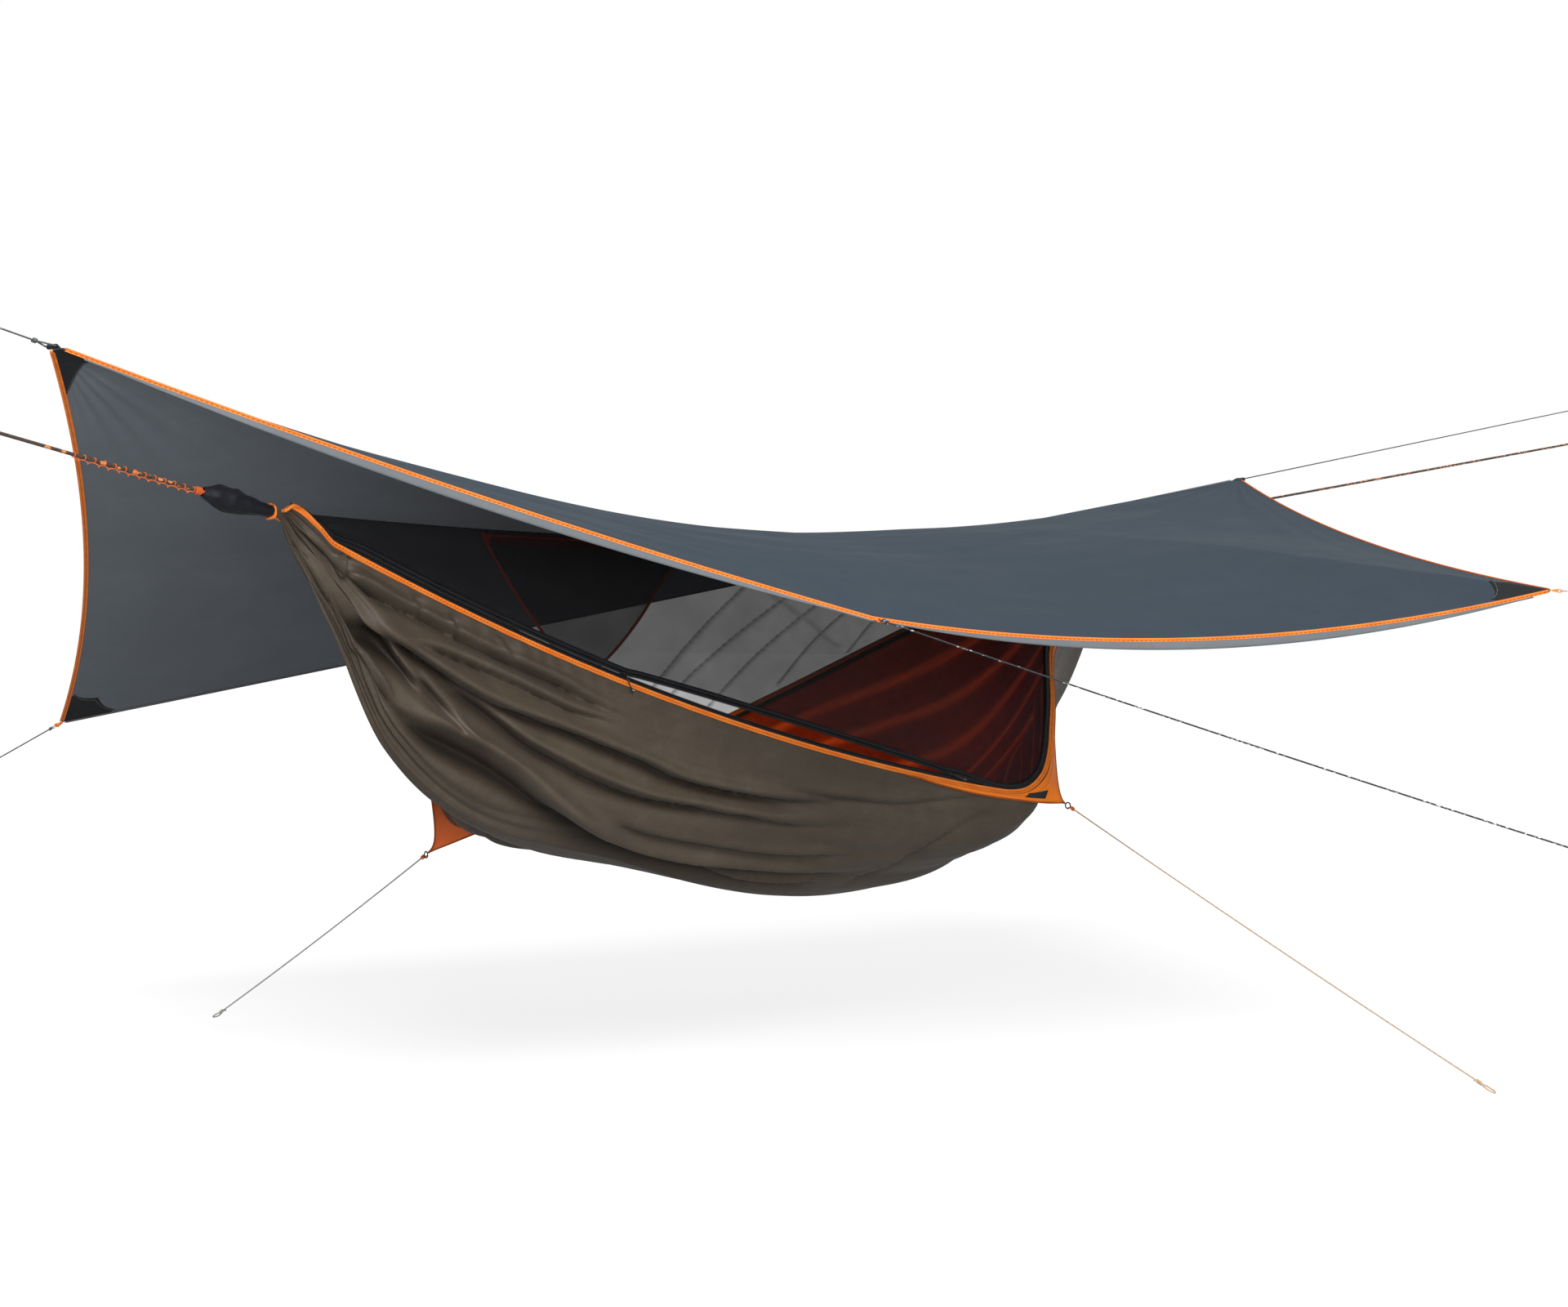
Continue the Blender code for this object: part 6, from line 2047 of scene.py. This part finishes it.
@dataclass
class TieOuts:
    """Cords, knots, rings and tabs at the tarp's four corners, its side and the hammock's two corners."""

    tarp: TarpForm
    finishes: Finishes
    near_tie: tuple = (0.511, -0.385, -0.594)
    far_tie: tuple = (-0.574, 0.398, -0.671)
    far_exit: tuple = (-0.762, 1.605, -0.510)
    side_exit: tuple = (-0.075, -1.826, -0.575)
    near_stake: tuple = (0.524, -1.336, -1.08)
    far_stake: tuple = (-0.411, 1.267, -1.08)
    right_exit: tuple = (3.546, 0.0, 0.391)
    left_rise: float = math.radians(13.3)
    right_rise: float = math.radians(8.43)
    beyond: float = 0.02
    left_webbing: float = 0.012
    right_webbing: float = 0.022
    side_tab: float = 0.014
    bridle: float = 0.030
    knot_length: float = 0.010
    far_knot_length: float = 0.008
    side_knot_length: float = 0.012
    seat: float = 0.0006
    gap: float = 0.0005
    outer: float = 0.0043
    tab: float = 0.020
    ring: float = 0.0066
    ring_wire: float = 0.0011
    corner_ring: float = 0.0065
    corner_wire: float = 0.0014

    def build_cords(self) -> None:
        """Every free cord, with its eye."""
        grey = self.finishes.grey_cord
        out = rising(-1, self.left_rise)
        root = np.array(self.tarp.left) - (self.seat, 0, 0)
        self.bridle_tunnel = root + out * (self.left_webbing - self.outer)
        self.bridle_out = out
        start = self.bridle_tunnel + out * (self.bridle + self.knot_length + self.gap)
        Guyline("ridge_cord_left", start, start + out * 0.062, grey, "grey_cord").build()
        out = rising(1, self.right_rise)
        tunnel = np.array(self.tarp.right) + (self.seat, 0, 0) + out * (self.right_webbing - self.outer)
        self.right_start = tunnel + out * (self.outer + self.gap)
        self.right_out = out
        end = np.array(self.right_exit) + out * self.beyond
        Guyline("ridge_cord_right", self.right_start, end, grey, "grey_cord").build()
        corner = np.array(self.tarp.far)
        out = unit(np.array(self.far_exit) - corner)
        tunnel = corner + out * (self.seat + self.tab - self.outer)
        self.far_knot = tunnel + out * (2 * self.ring + self.ring_wire + self.gap)
        self.far_out = out
        end = np.array(self.far_exit) + out * self.beyond
        start = self.far_knot + out * (self.far_knot_length + self.gap)
        Guyline("guyline_far", start, end, grey, "grey_cord").build()
        side = self.side_root()
        out = unit(np.array(self.side_exit) - side)
        tunnel = side + out * (self.seat + self.side_tab - self.outer)
        self.side_knot = tunnel + out * (self.outer + self.gap)
        self.side_out = out
        end = np.array(self.side_exit) + out * self.beyond
        start = self.side_knot + out * (self.side_knot_length + self.gap)
        Guyline("guyline_side", start, end, self.finishes.dark_cord, "grey_cord", 0.004).build()
        self.corner_knots = {}
        for label, tie, stake, surface in (("near", self.near_tie, self.near_stake, self.finishes.tan_cord),
                                           ("far", self.far_tie, self.far_stake, self.finishes.pale_cord)):
            tie, stake = np.array(tie), np.array(stake)
            out = unit(stake - tie)
            wire = self.corner_ring + self.corner_wire
            start = tie + out * (2 * wire + self.seat + self.gap)
            self.corner_knots[label] = (start, out)
            Guyline("corner_guyline_" + label, start + out * (self.knot_length + self.gap), stake, surface,
                    "tan_cord", 0.004, "corner_guyline_loop_" + label).build()

    def side_root(self) -> Array:
        """Where the side tab leaves the binding."""
        x = np.array(self.tarp.side[0])
        low = self.tarp.edge(x - 0.01, Edge.NEAR)
        high = self.tarp.edge(x + 0.01, Edge.NEAR)
        out = unit(np.cross(UP, high - low))
        out = out if out[1] < 0 else -out
        return self.tarp.edge(x, Edge.NEAR) + out * 0.0126

    def build(self) -> None:
        """Knots, the bridle and the finishes of the rings and tabs."""
        grey = self.finishes.grey_cord
        self.knot("guyline_knot_far", self.far_knot, self.far_out, 0.0012, self.far_knot_length, 3, grey,
                  "grey_cord")
        self.knot("guyline_knot_side", self.side_knot, self.side_out, 0.0015, self.side_knot_length, 4,
                  self.finishes.dark_cord, "black_plastic")
        for label, (start, out) in self.corner_knots.items():
            self.knot("corner_knot_" + label, start, out, 0.0014, self.knot_length, 3, self.finishes.orange_cord,
                      "orange_tape")
        self.knot("ridge_knot_right", self.right_start, self.right_out, 0.0014, self.knot_length, 3, grey,
                  "grey_cord", False)
        self.build_bridle()
        for surface, names in (
            (self.finishes.webbing, ("tarp_webbing_left", "tarp_webbing_right")),
            (self.finishes.tape, ("tarp_tab_far", "tarp_tab_near", "tarp_side_tab")),
            (self.finishes.steel, ("tarp_ring_far", "tarp_ring_near")),
            (self.finishes.plastic, ("corner_ring_near", "corner_ring_far")),
            (self.finishes.orange_cord, ("rope_eye_left", "rope_eye_right")),
        ):
            for name in names:
                dress(name, surface)

    def knot(self, name: str, start: Array, out: Array, radius: float, length: float, wraps: int,
             surface: Material, slot: str, replaced: bool = True) -> None:
        """One wrapped knot.

        Args:
            name: The knot's node, or a word for a knot without one.
            start: Where it begins.
            out: Its axis.
            radius: Its cord's radius.
            length: Its length.
            wraps: How many turns it has.
            surface: Its finish.
            slot: The record's slot.
            replaced: Whether the name is a node's.
        """
        draft = Draft().rope(wrapped(start, out, radius, length, wraps), radius, 8)
        draft.ride(name + "_wraps", surface, slot, *((name,) if replaced else ()))

    def build_bridle(self) -> None:
        """The cord triangle through the left webbing, closed by its knot."""
        tunnel = self.bridle_tunnel
        out = self.bridle_out
        cord = Guyline.radius
        half = self.tarp.webbing / 2 + cord + self.seat
        knot = tunnel + out * self.bridle
        taut = tunnel + out * (0.0031 - cord - self.seat)
        leg = 0.0017
        side = [
            knot + SIDEWAYS * leg + out * 0.004, knot + SIDEWAYS * leg - out * 0.001,
            tunnel + out * 0.006 + SIDEWAYS * half, tunnel + out * 0.002 + SIDEWAYS * half,
            taut + SIDEWAYS * (half - 0.002),
        ]
        mirrored = [point * (1, -1, 1) for point in reversed(side)]
        corners = np.array(side + mirrored)
        share = np.linspace(0, len(corners) - 1, 8 * len(corners))
        path = np.stack([np.interp(share, np.arange(len(corners)), corners[:, i]) for i in range(3)], axis=-1)
        draft = Draft().rope(path, cord, 8, upward=np.cross(out, SIDEWAYS))
        draft.rope(wrapped(knot, out, cord, self.knot_length, 3), cord, 8)
        draft.ride("ridge_bridle", self.finishes.grey_cord, "grey_cord", "ridge_cord_knot_left")


def dress(name: str, surface: Material) -> None:
    """Give a model node its finish.

    Args:
        name: The node.
        surface: Its finish.
    """
    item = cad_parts[name]
    item = item if isinstance(item, Object) else bpy.data.objects[name]
    item.data.materials.clear()
    item.data.materials.append(surface)
    LOG.info("%s: finished as %s", name, surface.name)


@dataclass
class Studio:
    """Camera, floor and light, with lamps placed from the middle of the ridgeline."""

    place: tuple = (-4.598, -4.105, -0.177)
    yaw: float = math.radians(48.582)
    pitch: float = math.radians(-0.911)
    roll: float = math.radians(-0.133)
    lens: float = 68.745
    floor: float = -1.13
    sky: float = 0.38
    sun: float = 2.4
    fill: float = 120.0
    fill_size: tuple = (3.0, 1.4)
    fill_place: tuple = (-3.4, -4.4, -0.05)
    fill_target: tuple = (0.2, 0.0, -0.45)
    sun_angle: float = math.radians(22)
    sun_way: tuple = (0.56, 0.67, -0.50)
    paper: tuple = (0.45, 0.45, 0.45, 1)
    glow: float = 0.72

    def camera(self) -> None:
        """The camera at the photograph's angle, for a frame of 1920 by 1600."""
        facing = Vector((math.sin(self.yaw) * math.cos(self.pitch), math.cos(self.yaw) * math.cos(self.pitch),
                         math.sin(self.pitch)))
        right = facing.cross(Vector(UP)).normalized()
        upward = right.cross(facing)
        turned = right * math.cos(self.roll) + upward * math.sin(self.roll)
        lifted = -right * math.sin(self.roll) + upward * math.cos(self.roll)
        lens = bpy.data.cameras.new("camera")
        lens.lens = self.lens
        lens.sensor_width = 36
        lens.sensor_fit = "HORIZONTAL"
        made = added("camera", lens)
        turn = Matrix((turned, lifted, -facing)).transposed().to_4x4()
        made.matrix_world = Matrix.Translation(Vector(self.place) + Vector(MIDDLE)) @ turn
        bpy.context.scene.camera = made

    def light(self) -> None:
        """A pale sky, a soft sun from above the entry side and a broad lamp that fills from the left."""
        world = bpy.data.worlds.new("studio")
        bpy.context.scene.world = world
        world.use_nodes = True
        tree = world.node_tree
        tree.nodes.clear()
        seen = self.seen(tree, "Is Camera Ray", "Is Transmission Ray", "Is Glossy Ray")
        strength = node(tree, "ShaderNodeMapRange", Value=seen, To_Min=self.sky, To_Max=1.0).outputs["Result"]
        back = node(tree, "ShaderNodeBackground", Color=(1, 1, 1, 1), Strength=strength)
        node(tree, "ShaderNodeOutputWorld", Surface=back.outputs["Background"])
        lamp = bpy.data.lights.new("key", "SUN")
        lamp.energy = self.sun
        lamp.angle = self.sun_angle
        self.aim(lamp, Vector(), Vector(self.sun_way))
        soft = bpy.data.lights.new("fill", "AREA")
        soft.energy = self.fill
        soft.shape = "RECTANGLE"
        soft.size, soft.size_y = self.fill_size
        stand = Vector(self.fill_place)
        self.aim(soft, stand + Vector(MIDDLE), Vector(self.fill_target) - stand)

    @staticmethod
    def seen(tree: NodeTree, *rays: str) -> NodeSocket:
        """Add nodes that give 1 for any of these kinds of ray, and 0 for others.

        Args:
            tree: The tree to add to.
            *rays: Names of the light path's outputs.

        Returns:
            The output.
        """
        path = node(tree, "ShaderNodeLightPath").outputs
        found = path[rays[0]]
        for ray in rays[1:]:
            found = node(tree, "ShaderNodeMath", {"operation": "MAXIMUM"}, _0=found, _1=path[ray]).outputs[0]
        return found

    @staticmethod
    def aim(lamp: bpy.types.Light, stand: Vector, along: Vector) -> None:
        """Hang a lamp at a point and turn it along a direction."""
        turn = along.to_track_quat("-Z", "Y").to_matrix().to_4x4()
        added(lamp.name, lamp).matrix_world = Matrix.Translation(stand) @ turn

    def ground(self) -> None:
        """A pale floor that shows white and keeps the object's shadow."""
        mesh = bpy.data.meshes.new("floor")
        plane = bmesh.new()
        bmesh.ops.create_grid(plane, x_segments=1, y_segments=1, size=40)
        plane.to_mesh(mesh)
        plane.free()
        made = added("floor", mesh)
        made.location = (MIDDLE[0], 0, self.floor + MIDDLE[2])
        # Matt studio paper: plain white, seen through a little light of its own so that it meets the sky
        paper = bpy.data.materials.new("white_studio_paper")
        paper.use_nodes = True
        tree = paper.node_tree
        tree.nodes.clear()
        seen = self.seen(tree, "Is Camera Ray", "Is Transmission Ray")
        matt = node(tree, "ShaderNodeBsdfDiffuse", Color=self.paper)
        glow = node(tree, "ShaderNodeEmission", Color=(1, 1, 1, 1), Strength=self.glow)
        both = node(tree, "ShaderNodeAddShader", _0=matt.outputs["BSDF"], _1=glow.outputs["Emission"])
        shown = node(tree, "ShaderNodeMixShader", Fac=seen, _1=matt.outputs["BSDF"], _2=both.outputs["Shader"])
        node(tree, "ShaderNodeOutputMaterial", Surface=shown.outputs["Shader"])
        mesh.materials.append(paper)


def main() -> None:
    """Build every piece in order."""
    logging.basicConfig(level=logging.INFO, format="%(message)s")
    bpy.context.scene.view_settings.view_transform = "Standard"
    studio = Studio()
    studio.camera()
    finishes = Finishes()
    form = BodyForm()
    tarp = TarpForm()
    ends = [GatheredEnd(form, finishes, End.LEFT, 0.575), GatheredEnd(form, finishes, End.RIGHT, 2.30)]
    for end in ends:
        end.build_rope()
    ties = TieOuts(tarp, finishes)
    ties.build_cords()
    Body(form, finishes).build()
    zip_line = EntryZip(form, finishes)
    zip_line.build()
    BugNet(form, finishes, zip_line).build()
    SideCorner(form, finishes, Edge.NEAR, ties.near_tie, 0.09, 0.445, 0.93, 0.30, 0.10).build()
    SideCorner(form, finishes, Edge.FAR, ties.far_tie, -0.98, -0.525, -0.22, 0.10, 0.305).build()
    for end in ends:
        end.build()
    Tarp(tarp, finishes).build()
    ties.build()
    studio.light()
    studio.ground()


if __name__ == "__main__":
    main()
